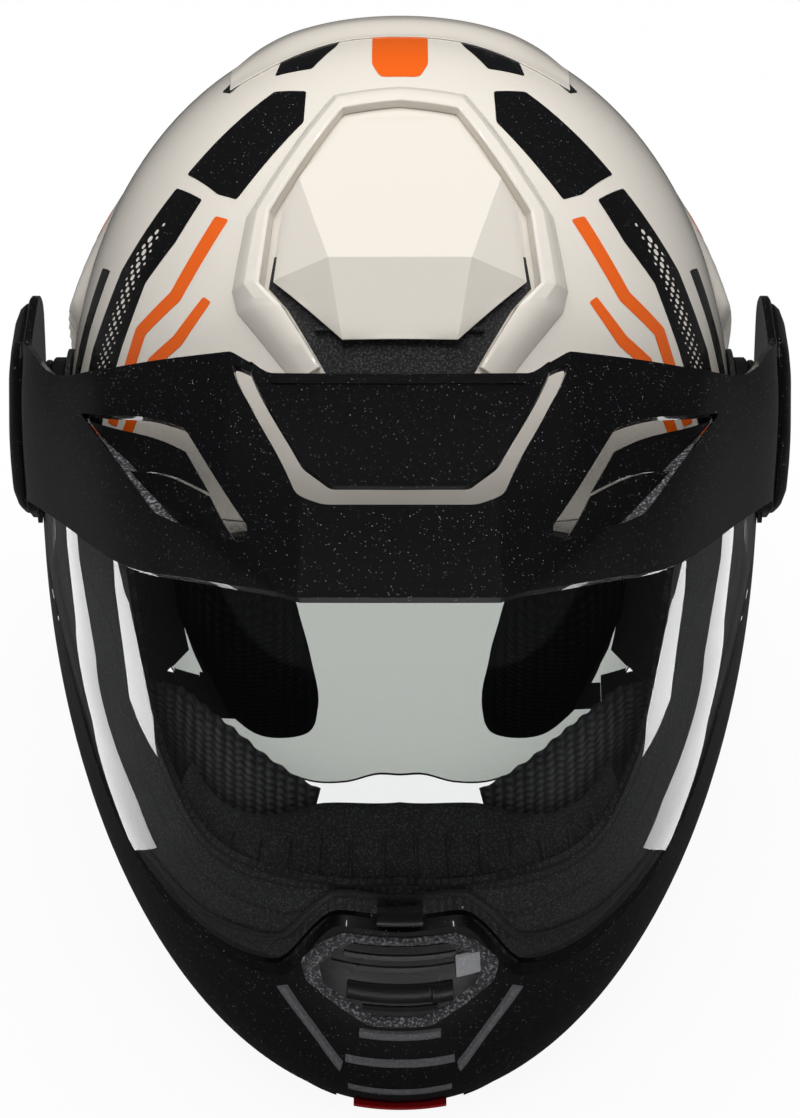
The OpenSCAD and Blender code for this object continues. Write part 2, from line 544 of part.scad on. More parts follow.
function shield_row(b, s) = (1 - s) * curve(shield_low, abs(b)) + s * curve(shield_top, abs(b));
function rim_pitch(b, step = 0, a = -30) =
    step == 6 ? a : rim_pitch(b, step + 1, -asin(min(0.99, chin_z / (face_at(dir(a, b)) * cos(b)))));
function rear_pitch(b, step = 0, a = -50) =
    step == 6 ? a : rear_pitch(b, step + 1, -acos(min(1, chin_gap_y / (face_at(dir(a, b)) * cos(b)))));
function chin_low(b) =
    let (c = abs(b)) c < 66 ? max(rim_pitch(c), rear_pitch(c)) : rear_pitch(66) - 3 * (c - 66);

strip_steps = 40;
arm_end = 79;
recess = 4;
// Angle between the face shield's lower edge and the chin bar, measured square to the edge
shield_seam = 1;
// Where the shield's lower edge bends most, the ledge and its gasket lie a little deeper
function bend(b) = ramp(abs(b), 5, 7) * (1 - ramp(abs(b), 12, 15));
function low_slope(b) = (curve(shield_low, abs(b) + 1) - curve(shield_low, max(abs(b) - 1, 0))) / 2;

module chin_bar_form() {
    bs = [for (k = [0 : strip_steps]) strip_b(k, arm_end, strip_steps)];
    edge = [for (b = bs) curve(shield_low, abs(b)) - shield_seam * norm([1, low_slope(b) * cos(b)])];
    low = [for (b = bs) chin_low(b)];
    top = [for (b = bs) max(curve(chin_top, abs(b)), curve(shield_low, abs(b)) + 1.4)];
    body = [0, 0.2, 0.45, 0.72, 1];
    outer = concat(
        [for (s = body) [for (k = [0 : strip_steps]) on_face([low[k] + (edge[k] - low[k]) * s, bs[k]], 0)]],
        [for (s = [0.02, 0.5, 1]) [for (k = [0 : strip_steps])
            on_face([edge[k] + 0.5 + (top[k] - edge[k] - 0.5) * s, bs[k]],
                    -recess - (s == 1 ? 0.7 : 0) - 0.7 * bend(bs[k]))]]);
    inner = concat(
        [for (s = body) [for (k = [0 : strip_steps])
            on_face([low[k] + (edge[k] - low[k]) * s, bs[k]], -chin_t - (s == 1 ? recess : 0))]],
        [for (s = [0.02, 0.5, 1]) [for (k = [0 : strip_steps])
            on_face([edge[k] + 0.5 + (top[k] - edge[k] - 0.5) * s, bs[k]], -recess - chin_t)]]);
    skin(outer, inner);
}

// Lateral and pitch outlines of the chin's vent
chin_vent = both([[-12.8, 8.2], [-15.4, 9.2], [-19, 3.8]]);
vent_hole_z = -0.25 * chin_r;
vent_hole = [[-11, 6], [11, 6], [13, 1], [6, -6], [-6, -6], [-13, 1]];
module vent_hole_cut() translate([0, 74 - chin_r, vent_hole_z]) rotate([90, 0, 0])
    linear_extrude(80) polygon(vent_hole);
button_half_w = 16;
button_h = 3;
module chin_bar_shell() color([0.05, 0.05, 0.055]) place() difference() {
    union() {
        difference() {
            chin_bar_form();
            sides() axle(hub_r - 1 + 4 * gap, shield_hub_x - gap, pod_x);
            sides() axle(hub_r + 3.3, pocket_x - 5, pocket_x + base_t + gap);
        }
        sides() axle(hub_r, chin_hub_x, chin_hub_x + chin_hub_t);
        sides() axle(boss_r, chin_hub_x + 1, pod_x);
    }
    sides() axle(pin_r + running_gap, chin_hub_x - 10, pin_end_x + 0.3);
    sides() axle(screw_r - 0.4, pod_x - 3, pod_x + 5);
    vent_hole_cut();
    translate([-button_half_w - 0.4, -chin_r, -axis_h - 1])
        cube([2 * button_half_w + 0.8, 60, button_h + button_travel + 1.8]);
}

foam_half = 33;
module chin_bar_foam() color([0.1, 0.1, 0.11]) place() difference() {
    steps = 20;
    bs = [for (k = [0 : steps]) strip_b(k, foam_half, steps)];
    rows = [0, 0.33, 0.62, 0.8, 1];
    at = function (s, b, h)
        let (low = chin_low(b) + 3, high = curve(shield_low, abs(b)) - 2.4)
        on_face([low + (high - low) * s, b], h - (s > 0.6 ? recess : 0));
    swell = function (s) 1 - 0.8 * (s - 0.5) * (s - 0.5);
    skin([for (s = rows) [for (b = bs) at(s, b, -chin_t - foam_gap)]],
         [for (s = rows) [for (b = bs) at(s, b, -chin_t - foam_gap - chin_foam_t * swell(s))]]);
    vent_hole_cut();
    sides() translate([lock_x - 3, -chin_r, -axis_h]) cube([60, chin_r, axis_h]);
}

module chin_bar_trim() color([0.05, 0.05, 0.05]) place() for (side = [0, 1]) mirror([side, 0, 0]) {
    steps = 16;
    lip = 1;
    rings = [for (k = [0 : steps]) let (b = 5.2 + (40.5 - 5.2) * k / steps, a = chin_low(b),
        p = on_face([a, b], 0), q = on_face([a, b], -chin_t), out = unit([p[0], p[1], 0]),
        ro = norm([p[0], p[1]]), ri = norm([q[0], q[1]]) - 0.5)
        [for (s = [[ro + 0.3, -chin_z - 0.9], [ri - lip, -chin_z - 0.9], [ri - lip, -chin_z + 4.5],
                   [ri, -chin_z + 4.5], [ri, -chin_z - 0.15], [ro + 0.3, -chin_z - 0.15]])
            out * s[0] + [0, 0, s[1]]]];
    sweep(rings);
}

module chin_vent_frame() color([0.12, 0.12, 0.12]) place() {
    frame_on("face", chin_vent, 0.72, 2, 2 * gap, 0.05);
    frame_on("face", both([[-17.6, 10.4], [-19.8, 8.6], [-23.4, 4.6], [-22.2, 4.2]]), 0.8, 2.2, 4 * gap, 0.03);
}
// Shutter over the hole in the chin, inside the vent's frame; it slides up by its tab
shutter_rows = [-16.7, -16, -15.2];
shutter_half = 4.6;
module chin_vent_shutter() color([0.05, 0.05, 0.05]) place() {
    bs = [for (k = [0 : 8]) strip_b(k, shutter_half, 8)];
    raised = function (b) b > 0.6 * shutter_half ? 2.6 : 1.7;
    skin([for (a = shutter_rows) [for (b = bs) on_face([a, b], raised(b))]],
         [for (a = shutter_rows) [for (b = bs) on_face([a, b], gap)]]);
}

// Rubber deflector that rises from the chin bar's upper edge towards the nose
module breath_guard() color([0.07, 0.07, 0.07]) place() {
    steps = 20;
    half = 25;
    bs = [for (k = [0 : steps]) strip_b(k, half, steps)];
    lift = [[0, 6.4], [8, 6.4], [13, 4.6], [20, 3], [half, 2]];
    rows = [0, 0.5, 1];
    mid = function (b, s) curve(chin_top, abs(b)) - 1.5 + s * curve(lift, abs(b));
    outer = [for (s = rows) [for (b = bs) on_face([mid(b, s), b], -recess - chin_t - 0.3 - 6 * s)]];
    inner = [for (s = rows) [for (b = bs) on_face([mid(b, s), b], -recess - chin_t - 2.8 - 6 * s)]];
    skin(outer, inner);
}

// Rubber seal on the chin bar's ledge, parallel to the face shield's lowest facets
module shield_gasket() color([0.04, 0.04, 0.04]) place() {
    bs = [for (k = [4 : strip_steps - 4]) strip_b(k, arm_end, strip_steps)];
    rows = [0.02, 0.05];
    at = function (s, b, h)
        let (low = on_face([shield_row(b, 0), b], h), next = on_face([shield_row(b, 0.2), b], h))
        low + (next - low) * s / 0.2;
    skin([for (s = rows) [for (b = bs) at(s, b, -shield_t - 2 * gap - 0.2 * bend(b))]],
         [for (s = rows) [for (b = bs) at(s, b, -recess + 2.2 * gap - 0.2 * bend(b))]]);
}

// Button under the chin: its front follows the chin bar's curve, and its stem reaches up to the latches
module release_button() color([0.75, 0.04, 0.04]) place() {
    front = -chin_r * cos(asin(chin_z / chin_r)) + 1.5;
    nose_r = face_half_w * face_half_w / chin_r;
    edge = [for (k = [0 : 8]) let (x = button_half_w * (k / 4 - 1)) [x, front + x * x / (2 * nose_r)]];
    translate([0, 0, -axis_h + 0.6]) {
        linear_extrude(button_h)
            polygon(concat(edge, [[button_half_w, front + 12], [-button_half_w, front + 12]]));
        translate([4 - button_half_w, front + 4, 0]) cube([2 * button_half_w - 8, 6, button_h + 2]);
    }
}

// Latch finger inside each lower corner of the chin bar
latch_y = lock_y - 23;
latch_z = lock_z;
latch_t = 3;
module latch_hook() difference() {
    union() {
        axle(5.5, lock_x, lock_x + latch_t, latch_y, latch_z);
        translate([lock_x, 0, 0]) rotate([90, 0, 90]) linear_extrude(latch_t)
            polygon([[latch_y, latch_z - 3], [latch_y + 13, latch_z - 1], [lock_y - 4, lock_z + 3.5],
                     [lock_y + 4, lock_z + 7.5], [lock_y + 7, lock_z + 12], [lock_y - 4, lock_z + 11],
                     [latch_y, latch_z + 5]]);
    }
    axle(2 + running_gap, lock_x - 1, lock_x + latch_t + 1, latch_y, latch_z);
}
module latch_hook_right() color([0.6, 0.6, 0.62]) place() latch_hook();
module latch_hook_left() color([0.6, 0.6, 0.62]) place() mirror([1, 0, 0]) latch_hook();
module latch_pivots() color([0.5, 0.5, 0.52]) place() sides() {
    axle(2, lock_x - 1.5, lock_x + latch_t + 0.5, latch_y, latch_z);
    wall_x = face_x(latch_y - 4, latch_z - 4) - 1.2 * chin_t;
    axle(4.5, lock_x + latch_t + 0.3, wall_x + gap, latch_y, latch_z);
    axle(3.4, lock_x - 2.5, lock_x - 0.3, latch_y, latch_z);
}

module face_shield() color([0.75, 0.8, 0.82, 0.35]) place() difference() {
    union() {
        steps = strip_steps;
        bs = [for (k = [0 : steps]) strip_b(k, arm_end, steps)];
        rows = [0, 0.2, 0.4, 0.6, 0.8, 1];
        skin([for (s = rows) [for (b = bs) on_face([shield_row(b, s), b], 0)]],
             [for (s = rows) [for (b = bs) on_face([shield_row(b, s), b], -shield_t)]]);
        sides() axle(hub_r - 1, shield_hub_x, shield_hub_x + shield_hub_t);
    }
    sides() axle(boss_r + running_gap, shield_hub_x - 10, shield_hub_x + 10);
}
module shield_tab() color([0.8, 0.82, 0.84, 0.5]) place()
    plate_on("face", [[-8.7, 2.2], [-9.6, 2.2], [-9.6, -2.2], [-8.7, -2.2]], [[0.6, 3.6], [1, 3]], 0.05, 2);
// Eccentric pins that would hold an anti-fog lens, one near each end of the face shield
fog_pin = [-30, -9];
module antifog_pins() color([0.6, 0.62, 0.64]) place() sides() {
    foot = face_x(fog_pin[0], fog_pin[1]);
    axle(3.5, foot + 0.25, foot + 1.7, fog_pin[0], fog_pin[1]);
}

module sun_visor() color([0.2, 0.23, 0.22, 0.6]) place() difference() {
    union() {
        steps = 34;
        bs = [for (k = [0 : steps]) strip_b(k, 86, steps)];
        rows = [0, 0.33, 0.66, 1];
        row = function (b, s) (1 - s) * curve(visor_low, abs(b)) + s * curve(visor_top, abs(b));
        skin([for (s = rows) [for (b = bs) let (d = dir(row(b, s), b)) d * visor_at(d)]],
             [for (s = rows) [for (b = bs) let (d = dir(row(b, s), b)) d * (visor_at(d) - visor_t)]]);
        sides() axle(11, visor_half_w - 3.5, visor_half_w);
    }
    sides() axle(3 + running_gap, visor_half_w - 10, visor_half_w + 10);
}
module sun_visor_pivots() color([0.1, 0.1, 0.1]) place() sides() {
    axle(7, visor_half_w + 0.4, pocket_x - shell_t - 0.05);
    axle(3, visor_half_w - 4, visor_half_w + 0.4);
}

// Track and slider on the left, low on the shell: the slider's foot runs in the track's groove
track_y = -6;
track_z = 12 - axis_h;
track_h = 10;
track_len = slider_travel + 20;
track_x = skirt_half_w - 3.5;
groove_depth = 1.6;
groove_h = track_h - 4;
slider_len = 14;
module slider_track() color([0.06, 0.06, 0.06]) place() mirror([1, 0, 0]) difference() {
    rows = [0, 0.5, 1];
    cols = [0 : 0.125 : 1];
    at = function (x, r, c) [x, track_y + track_len * c, track_z + track_h * r];
    skin([for (r = rows) [for (c = cols) at(track_x, r, c)]],
         [for (r = rows) [for (c = cols) let (p = at(0, r, c)) at(shell_x(p[1], p[2]) + 0.2, r, c)]]);
    translate([track_x - groove_depth, track_y + 2.5, track_z + 2])
        cube([10, slider_travel + slider_len + 1, groove_h]);
}
module sun_visor_slider() color([0.2, 0.2, 0.2]) place() mirror([1, 0, 0])
    translate([track_x - groove_depth + 0.1, track_y + 3, track_z + 2 + gap]) {
        cube([groove_depth + 1.2, slider_len, groove_h - 2 * gap]);
        for (k = [0 : 4]) translate([groove_depth + 1.1, 1 + 2.7 * k, 0])
            cube([1.3, 1.2, groove_h - 2 * gap]);
    }

// Peak: rows from the front edge to the rear edge, columns from the middle to the hinge. A point's place
// is a share of the arms' half width, a step forward and a share of the peak's height. Step 0 is the
// hinge, 1 the rear edge and 2 the front edge.
arm_x = pod_x + pod_t;
front_y = -peak_reach;
rear_y = 35 - brow_r;
function fore(s) = s <= 1 ? rear_y * s : rear_y + (front_y - rear_y) * (s - 1);
peak_table = [
    [[0, 2, 1], [0, 1.754, 1.012], [0, 1.404, 1.016], [0, 1.061, 1]],
    [[0.232, 2, 1], [0.225, 1.754, 1.012], [0.232, 1.404, 1.016], [0.315, 1.053, 0.996]],
    [[0.285, 1.956, 0.984], [0.367, 1.64, 0.94], [0.419, 1.272, 0.96], [0.412, 0.918, 0.972]],
    [[0.479, 1.649, 0.774], [0.554, 1.368, 0.833], [0.599, 1.061, 0.853], [0.592, 0.795, 0.857]],
    [[0.674, 1.325, 0.56], [0.712, 1.14, 0.671], [0.749, 0.891, 0.722], [0.749, 0.673, 0.738]],
    [[0.861, 0.818, 0.306], [0.876, 0.718, 0.429], [0.888, 0.6, 0.524], [0.884, 0.473, 0.579]],
    [[0.97, 0.473, 0.119], [0.981, 0.391, 0.262], [0.981, 0.309, 0.397], [0.966, 0.227, 0.492]],
    [[1, 0.273, -0.024], [1, 0.209, 0.143], [1, 0.127, 0.286], [1, 0.055, 0.397]],
    [[1, 0.145, -0.048], [1, 0.109, 0.063], [1, 0.036, 0.175], [1, -0.018, 0.27]]];
peak_columns = [for (c = peak_table) [for (q = c) [arm_x * q[0], fore(q[1]), peak_rise * q[2]]]];
peak_rows = 6;
pod_outline = [[-34, -4], [-14, -26], [10, -24], [36, 6], [42, 30], [30, 44], [-6, 50], [-30, 20]];
peak_opening = [for (q = [[-0.184, 1.63], [0.184, 1.63], [0.33, 1.08], [-0.33, 1.08]])
    [arm_x * q[0], fore(q[1])]];
peak_slots = [[-30, -55], [-10, 2], [27, 38], [16, 12], [-5, -28]];
slot_step = 1.06;
function peak_drop(p) = unit([p[0], 0.12 * p[1], p[2]]);

// Peak's sheet between two depths under its outside
module peak_sheet(from, to) {
    half = [for (c = peak_columns) spline_points(c, peak_rows)];
    cols = concat([for (i = [len(half) - 1 : -1 : 1]) [for (p = half[i]) mirror_x(p)]], half);
    under = function (t) [for (r = [0 : peak_rows]) [for (c = cols) c[r] - peak_drop(c[r]) * t]];
    skin(under(from), under(to));
}
// Prism through the peak's side opening, square to the sheet there
module slot_prism(outline)
    translate([0.6 * arm_x, fore(slot_step), 0.742 * peak_rise]) rotate([0, 45, 0]) translate([0, 0, -12]) linear_extrude(30) polygon(outline);

module peak() color([0.05, 0.05, 0.055]) place() difference() {
    union() {
        peak_sheet(0, peak_t);
        sides() translate([pod_x, 0, 0]) rotate([90, 0, 90]) linear_extrude(pod_t) polygon(pod_outline);
    }
    sides() axle(screw_r + 0.2, pod_x - 5, pod_x + pod_t + 5);
    translate([0, 0, peak_rise - 20]) linear_extrude(40) polygon(peak_opening);
    sides() slot_prism(peak_slots);
}
// Tray under the peak's middle opening: level with the peak at its rear and deep at its mouth in front
guide_depth = 11;
guide_t = 1.6;
module peak_air_guide() color([0.05, 0.05, 0.055]) place() {
    rows = [0, 0.3, 0.65, 1];
    fall = function (x) 0.16 * max(0, abs(x) - 28);
    z0 = peak_rise - peak_t - 1;
    section = function (r, lip, wall, base, t)
        let (y = fore(1.5 - 0.44 * r), w = arm_x * (0.215 + 0.12 * r), depth = guide_depth * (1 - r) + 0.2)
        [for (q = [[-w - lip, 0.2], [-w - wall, 0.2], [-w - base, depth], [-w / 2, depth], [0, depth],
                   [w / 2, depth], [w + base, depth], [w + wall, 0.2], [w + lip, 0.2]])
            [q[0], y, z0 - fall(q[0]) - q[1] - t]];
    skin([for (r = rows) section(r, 3, 0.4, -0.8, 0)], [for (r = rows) section(r, 3, 2, 0.8, guide_t)]);
}
// Louvres in the peak's side openings: a frame just inside each opening's wall, with blades across it
slot_mid = [2, -8];
louvre_t = 1.6;
function slot_inset(k) = [for (p = peak_slots) slot_mid + (p - slot_mid) * k];
module peak_louvres() color([0.05, 0.05, 0.055]) place() sides() intersection() {
    peak_sheet(1, peak_t + 5);
    difference() {
        slot_prism(slot_inset(0.97));
        difference() {
            slot_prism(slot_inset(0.86));
            for (y = [-36, -19, -2, 15]) translate([50, y + fore(slot_step), 60]) cube([80, louvre_t, 80]);
        }
    }
}

module peak_side_covers() color([0.05, 0.05, 0.055]) place() sides() difference() {
    hull() {
        for (q = [[0.94, 0.5], [0.7, 1]]) translate([pod_x + pod_t + 0.05, 0, 0]) rotate([90, 0, 90])
            linear_extrude(cover_t * q[1]) polygon(pod_outline * q[0]);
    }
    axle(screw_r + 0.2, pod_x, pod_x + 20);
    axle(8, pod_x + pod_t + cover_t - 2.5, pod_x + 20);
}
module peak_screws() color([0.3, 0.3, 0.31]) place() sides() {
    axle(screw_r - 0.5, pod_x - 2.4, pod_x + pod_t + cover_t - 2.4);
    difference() {
        axle(7.5, pod_x + pod_t + cover_t - 2.4, pod_x + pod_t + cover_t - 0.2);
        translate([pod_x + pod_t + cover_t - 1.2, -6, -0.8]) cube([3, 12, 1.6]);
    }
}

outer_shell();
eps_liner();
crown_pad();
cheek_pad_left();
cheek_pad_right();
neck_roll();
shell_edge_trim();
brow_gasket();
top_vent_base();
top_vent_cover();
rear_spoiler();
rear_exhaust_vent();
hinge_base_left();
hinge_base_right();
hinge_screws();
lock_pins();
strap_left();
strap_right();
strap_anchors();
buckle_receiver();
buckle_lever();
buckle_ladder();
sun_visor();
sun_visor_pivots();
sun_visor_slider();
slider_track();
chin_bar_shell();
chin_bar_foam();
chin_bar_trim();
chin_vent_frame();
chin_vent_shutter();
breath_guard();
shield_gasket();
release_button();
latch_hook_left();
latch_hook_right();
latch_pivots();
face_shield();
shield_tab();
antifog_pins();
peak();
peak_air_guide();
peak_louvres();
peak_side_covers();
peak_screws();
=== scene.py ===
# %% [markdown]
# # Dressing a modular motorcycle helmet
# A flip-up touring helmet is a nest of skins that turn about one axis through both temples: the shell,
# the smoked visor inside it, and outside it the chin bar, the clear shield and the peak. The packed
# CAD model gives every body its place and its joint. This lesson builds a finer surface for each
# skin from the same rules, so that each piece lands where its solid is, with no fitting by eye.

# %% Load the frame
import json
import math

import bpy
import numpy as np
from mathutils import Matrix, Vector
from mathutils.geometry import delaunay_2d_cdt


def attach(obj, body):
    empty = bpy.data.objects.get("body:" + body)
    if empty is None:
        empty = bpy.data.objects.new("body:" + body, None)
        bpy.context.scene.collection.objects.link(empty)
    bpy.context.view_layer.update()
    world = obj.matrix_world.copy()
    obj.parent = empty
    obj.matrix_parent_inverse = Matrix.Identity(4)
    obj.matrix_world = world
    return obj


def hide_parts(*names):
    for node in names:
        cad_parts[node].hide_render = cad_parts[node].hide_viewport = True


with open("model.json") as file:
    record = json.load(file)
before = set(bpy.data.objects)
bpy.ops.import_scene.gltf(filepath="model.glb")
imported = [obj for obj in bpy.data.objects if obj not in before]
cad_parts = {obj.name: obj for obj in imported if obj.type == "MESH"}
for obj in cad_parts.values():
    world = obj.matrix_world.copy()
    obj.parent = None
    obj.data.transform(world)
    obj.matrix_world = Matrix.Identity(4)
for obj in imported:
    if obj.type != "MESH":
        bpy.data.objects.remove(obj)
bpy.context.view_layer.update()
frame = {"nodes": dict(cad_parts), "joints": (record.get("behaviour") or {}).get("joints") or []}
scene = bpy.context.scene
joints = {j["name"]: j for j in frame["joints"]}
hinge = Vector(joints["chin_bar_flip"]["pos_m"])
print("hinge axis passes through", tuple(round(v, 4) for v in hinge))

# %% [markdown]
# ## Camera, floor and light
# The camera looks at the face side from about 40 degrees up with a long lens, as a product
# photographer would, so that the round form is not stretched. The floor is a pale sheet that the
# camera and the clear parts see as almost white, while lamps still cast a shadow on it. Reflections
# see floor and sky much darker: a clear shield that mirrors a white room hides what is behind it.
# One broad lamp hangs over the crown, because tops are bright and fronts fall off. Low strips beside
# the shield draw the long white streaks down it, and two thin ones overhead mark the peak's creases.

# %% Camera
FOCAL_PX = 4140.0
FRAME_PX = 1118.0
VIEW_RAISE = math.radians(40.0)
VIEW_DROP = math.atan(119.0 / FOCAL_PX)
camera_data = bpy.data.cameras.new("camera")
camera_data.lens = 36.0 * FOCAL_PX / FRAME_PX
camera = bpy.data.objects.new("camera", camera_data)
camera.location = hinge + 1.5 * Vector((0, -math.cos(VIEW_RAISE), math.sin(VIEW_RAISE)))
camera.rotation_euler = (math.radians(90) - VIEW_RAISE - VIEW_DROP, 0, 0)
scene.collection.objects.link(camera)
scene.camera = camera
print("lens", round(camera_data.lens, 1), "mm")


# %% Floor
def add_material(name):
    """New material with its tree, its main shader and the piece's own coordinates."""
    material = bpy.data.materials.new(name)
    material.use_nodes = True
    tree = material.node_tree
    coords = tree.nodes.new("ShaderNodeTexCoord").outputs["Object"]
    return material, tree, tree.nodes["Principled BSDF"], coords


def link(tree, *pairs):
    for source, target in pairs:
        tree.links.new(source, target)


def math_node(tree, kind, a, b=None, clamp=False):
    """Math node whose inputs are numbers or sockets. Returns its output."""
    node = tree.nodes.new("ShaderNodeMath")
    node.operation = kind
    node.use_clamp = clamp
    for value, target in ((a, node.inputs[0]), (b, node.inputs[1])):
        if value is None:
            continue
        if isinstance(value, (int, float)):
            target.default_value = value
        else:
            tree.links.new(value, target)
    return node.outputs[0]


FLOOR_WHITE, MIRROR_CUT = 0.93, 0.96
floor_mat, tree, shader, _ = add_material("studio_floor")
shader.inputs["Base Color"].default_value = (0.86, 0.86, 0.86, 1)
shader.inputs["Roughness"].default_value = 0.9
glow = tree.nodes.new("ShaderNodeEmission")
shade = tree.nodes.new("ShaderNodeEmission")
shade.inputs["Strength"].default_value = 0.02
mix, cut = tree.nodes.new("ShaderNodeMixShader"), tree.nodes.new("ShaderNodeMixShader")
path = tree.nodes.new("ShaderNodeLightPath")
seen = math_node(tree, "MAXIMUM", path.outputs["Is Camera Ray"], path.outputs["Is Transmission Ray"])
mirrored_only = math_node(tree, "MINIMUM", path.outputs["Glossy Depth"], 1.0)
link(tree, (math_node(tree, "MULTIPLY", seen, FLOOR_WHITE), mix.inputs[0]),
     (shader.outputs[0], mix.inputs[1]), (glow.outputs[0], mix.inputs[2]),
     (math_node(tree, "MULTIPLY", mirrored_only, MIRROR_CUT), cut.inputs[0]),
     (mix.outputs[0], cut.inputs[1]), (shade.outputs[0], cut.inputs[2]),
     (cut.outputs[0], tree.nodes["Material Output"].inputs["Surface"]))
floor_mesh = bpy.data.meshes.new("floor")
floor_mesh.from_pydata([(-6, -6, 0), (6, -6, 0), (6, 6, 0), (-6, 6, 0)], [], [(0, 1, 2, 3)])
floor_mesh.materials.append(floor_mat)
floor = bpy.data.objects.new("floor", floor_mesh)
scene.collection.objects.link(floor)


# %% Lamps and world
def add_lamp(name, place, size, power, target=(0, 0, 0.13)):
    data = bpy.data.lights.new(name, "AREA")
    data.shape = "RECTANGLE"
    data.size, data.size_y = size
    data.energy = power
    lamp = bpy.data.objects.new(name, data)
    lamp.location = place
    lamp.rotation_euler = (Vector(target) - Vector(place)).to_track_quat("-Z", "Y").to_euler()
    scene.collection.objects.link(lamp)
    return lamp


overhead = add_lamp("overhead_box", (0, 0.35, 2.0), (2.4, 1.6), 45.0)
front_fill = add_lamp("front_fill", (0, -2.2, 0.9), (1.2, 0.5), 4.0)
for lamp in (overhead, front_fill):
    lamp.visible_glossy = lamp.visible_transmission = False
for side in (-1, 1):
    crease_line = add_lamp(f"crease_line_{side}", (side * 0.54, 0.1, 1.9), (0.05, 1.2), 2.6,
                           (side * 0.54, 0.1, 0))
    crease_line.visible_diffuse = crease_line.visible_transmission = False
low_lamps = []
low_strips = (((0.225, -0.01, 0.012), (0.045, 0.24), 35.0, 0.13),
              ((0.44, -0.055, 0.012), (0.25, 0.07), -22.0, 0.5))
for side in (-1, 1):
    for k, (place, size, turn, power) in enumerate(low_strips):
        low = add_lamp(f"low_strip_{k}_{side}", (side * place[0], place[1], place[2]), size, power)
        low.rotation_euler = (math.pi, 0, math.radians(-side * turn))
        low_lamps.append(low)
        low.visible_diffuse = False
        low.visible_transmission = False
chin_strip = add_lamp("chin_strip", (0, -0.33, 0.01), (0.2, 0.02), 0.1)
chin_strip.rotation_euler = (math.pi, 0, 0)
chin_strip.visible_diffuse = chin_strip.visible_transmission = False
SKY_LEVEL, SKY_IN_MIRROR, SKY_FOR_CAMERA = 0.3, -0.28, 0.85
world = bpy.data.worlds.new("studio")
world.use_nodes = True
world.node_tree.nodes["Background"].inputs["Color"].default_value = (0.93, 0.95, 1.0, 1)
sky = world.node_tree
path = sky.nodes.new("ShaderNodeLightPath")
dim = math_node(sky, "MULTIPLY", math_node(sky, "MINIMUM", path.outputs["Glossy Depth"], 1.0),
                SKY_IN_MIRROR)
shown = math_node(sky, "MULTIPLY", path.outputs["Is Camera Ray"], SKY_FOR_CAMERA)
base = math_node(sky, "ADD", dim, SKY_LEVEL)
link(sky, (math_node(sky, "ADD", base, shown), sky.nodes["Background"].inputs["Strength"]))
scene.world = world
scene.view_settings.view_transform = "Standard"

# %% [markdown]
# ## The rules that shape every skin
# The designer of such a helmet draws one side profile and one width for each skin, and everything
# else follows. Here a direction from the hinge's middle is a pitch angle, up from straight ahead, and
# a lateral angle. Each skin gives its distance in that direction. Working in this way keeps all the
# skins concentric, so that they can swing past each other. Lengths are in millimetres up to the end.

# %% Smooth tables and directions
AXIS_H, CORNER_Y = 118.0, 46.0
CROWN_R, BROW_R, BACK_R, CHIN_R = 149.0, 145.0, 160.0, 244.0
SKIRT_W, SHELL_W, POCKET_X, FACE_W, FOAM_W = 128.0, 120.0, 118.0, 129.0, 90.0
SHELL_T, CHIN_T, SHIELD_T, VISOR_T = 3.0, 3.2, 2.2, 2.0
SLOT_DEPTH, FOAM_GAP, VISOR_R = 12.0, 2.2, 137.0
HUB_R, BOSS_R, PIN_R, CHIN_HUB_X, SHIELD_HUB_X = 30.0, 9.0, 5.0, 120.0, 125.4
POD_X, POD_T, COVER_T = 130.0, 3.5, 6.0


def curve(table, x):
    """Smooth curve through a table of (position, value)."""
    xs, ys = np.array(table, float).T
    x = np.asarray(x, float)
    slope = np.empty(len(xs))
    slope[1:-1] = (ys[2:] - ys[:-2]) / (xs[2:] - xs[:-2])
    slope[0] = (ys[1] - ys[0]) / (xs[1] - xs[0])
    slope[-1] = (ys[-1] - ys[-2]) / (xs[-1] - xs[-2])
    i = np.clip(np.searchsorted(xs, x, side="right") - 1, 0, len(xs) - 2)
    h = xs[i + 1] - xs[i]
    s = (x - xs[i]) / h
    return ((2 * s**3 - 3 * s**2 + 1) * ys[i] + (s**3 - 2 * s**2 + s) * h * slope[i]
            + (-2 * s**3 + 3 * s**2) * ys[i + 1] + (s**3 - s**2) * h * slope[i + 1])


def spline(points, t):
    """Points on a smooth curve through a list of points, where t runs from 0 to the last one's number."""
    p = np.array(points, float)
    t = np.asarray(t, float)
    i = np.clip(np.floor(t).astype(int), 0, len(p) - 2)
    s = (t - i).reshape(t.shape + (1,) * (p.ndim - 1))
    slope = np.empty_like(p)
    slope[1:-1] = (p[2:] - p[:-2]) / 2
    slope[0], slope[-1] = p[1] - p[0], p[-1] - p[-2]
    return ((2 * s**3 - 3 * s**2 + 1) * p[i] + (s**3 - 2 * s**2 + s) * slope[i]
            + (-2 * s**3 + 3 * s**2) * p[i + 1] + (s**3 - s**2) * slope[i + 1])


def ramp(x, low, high):
    s = np.clip((np.asarray(x, float) - low) / (high - low), 0, 1)
    return s * s * (3 - 2 * s)


def direction(a, b):
    """Unit vectors for pitch a and lateral angle b in degrees."""
    a, b = np.radians(a), np.radians(b)
    return np.stack([np.sin(b) + 0 * a, -np.cos(b) * np.cos(a), np.cos(b) * np.sin(a)], -1)


def pitch(d):
    a = np.degrees(np.arctan2(d[..., 2], -d[..., 1]))
    return np.where(a < -90, a + 360, a)


def reach(d, r, w, p):
    side = np.hypot(d[..., 1], d[..., 2])
    return ((np.abs(d[..., 0]) / w) ** p + (side / r) ** p) ** (-1 / p)


def slerp(a, b, t):
    w = np.arccos(np.clip((a * b).sum(-1), -1, 1))[..., None]
    return (np.sin((1 - t) * w) * a + np.sin(t * w) * b) / np.sin(w)


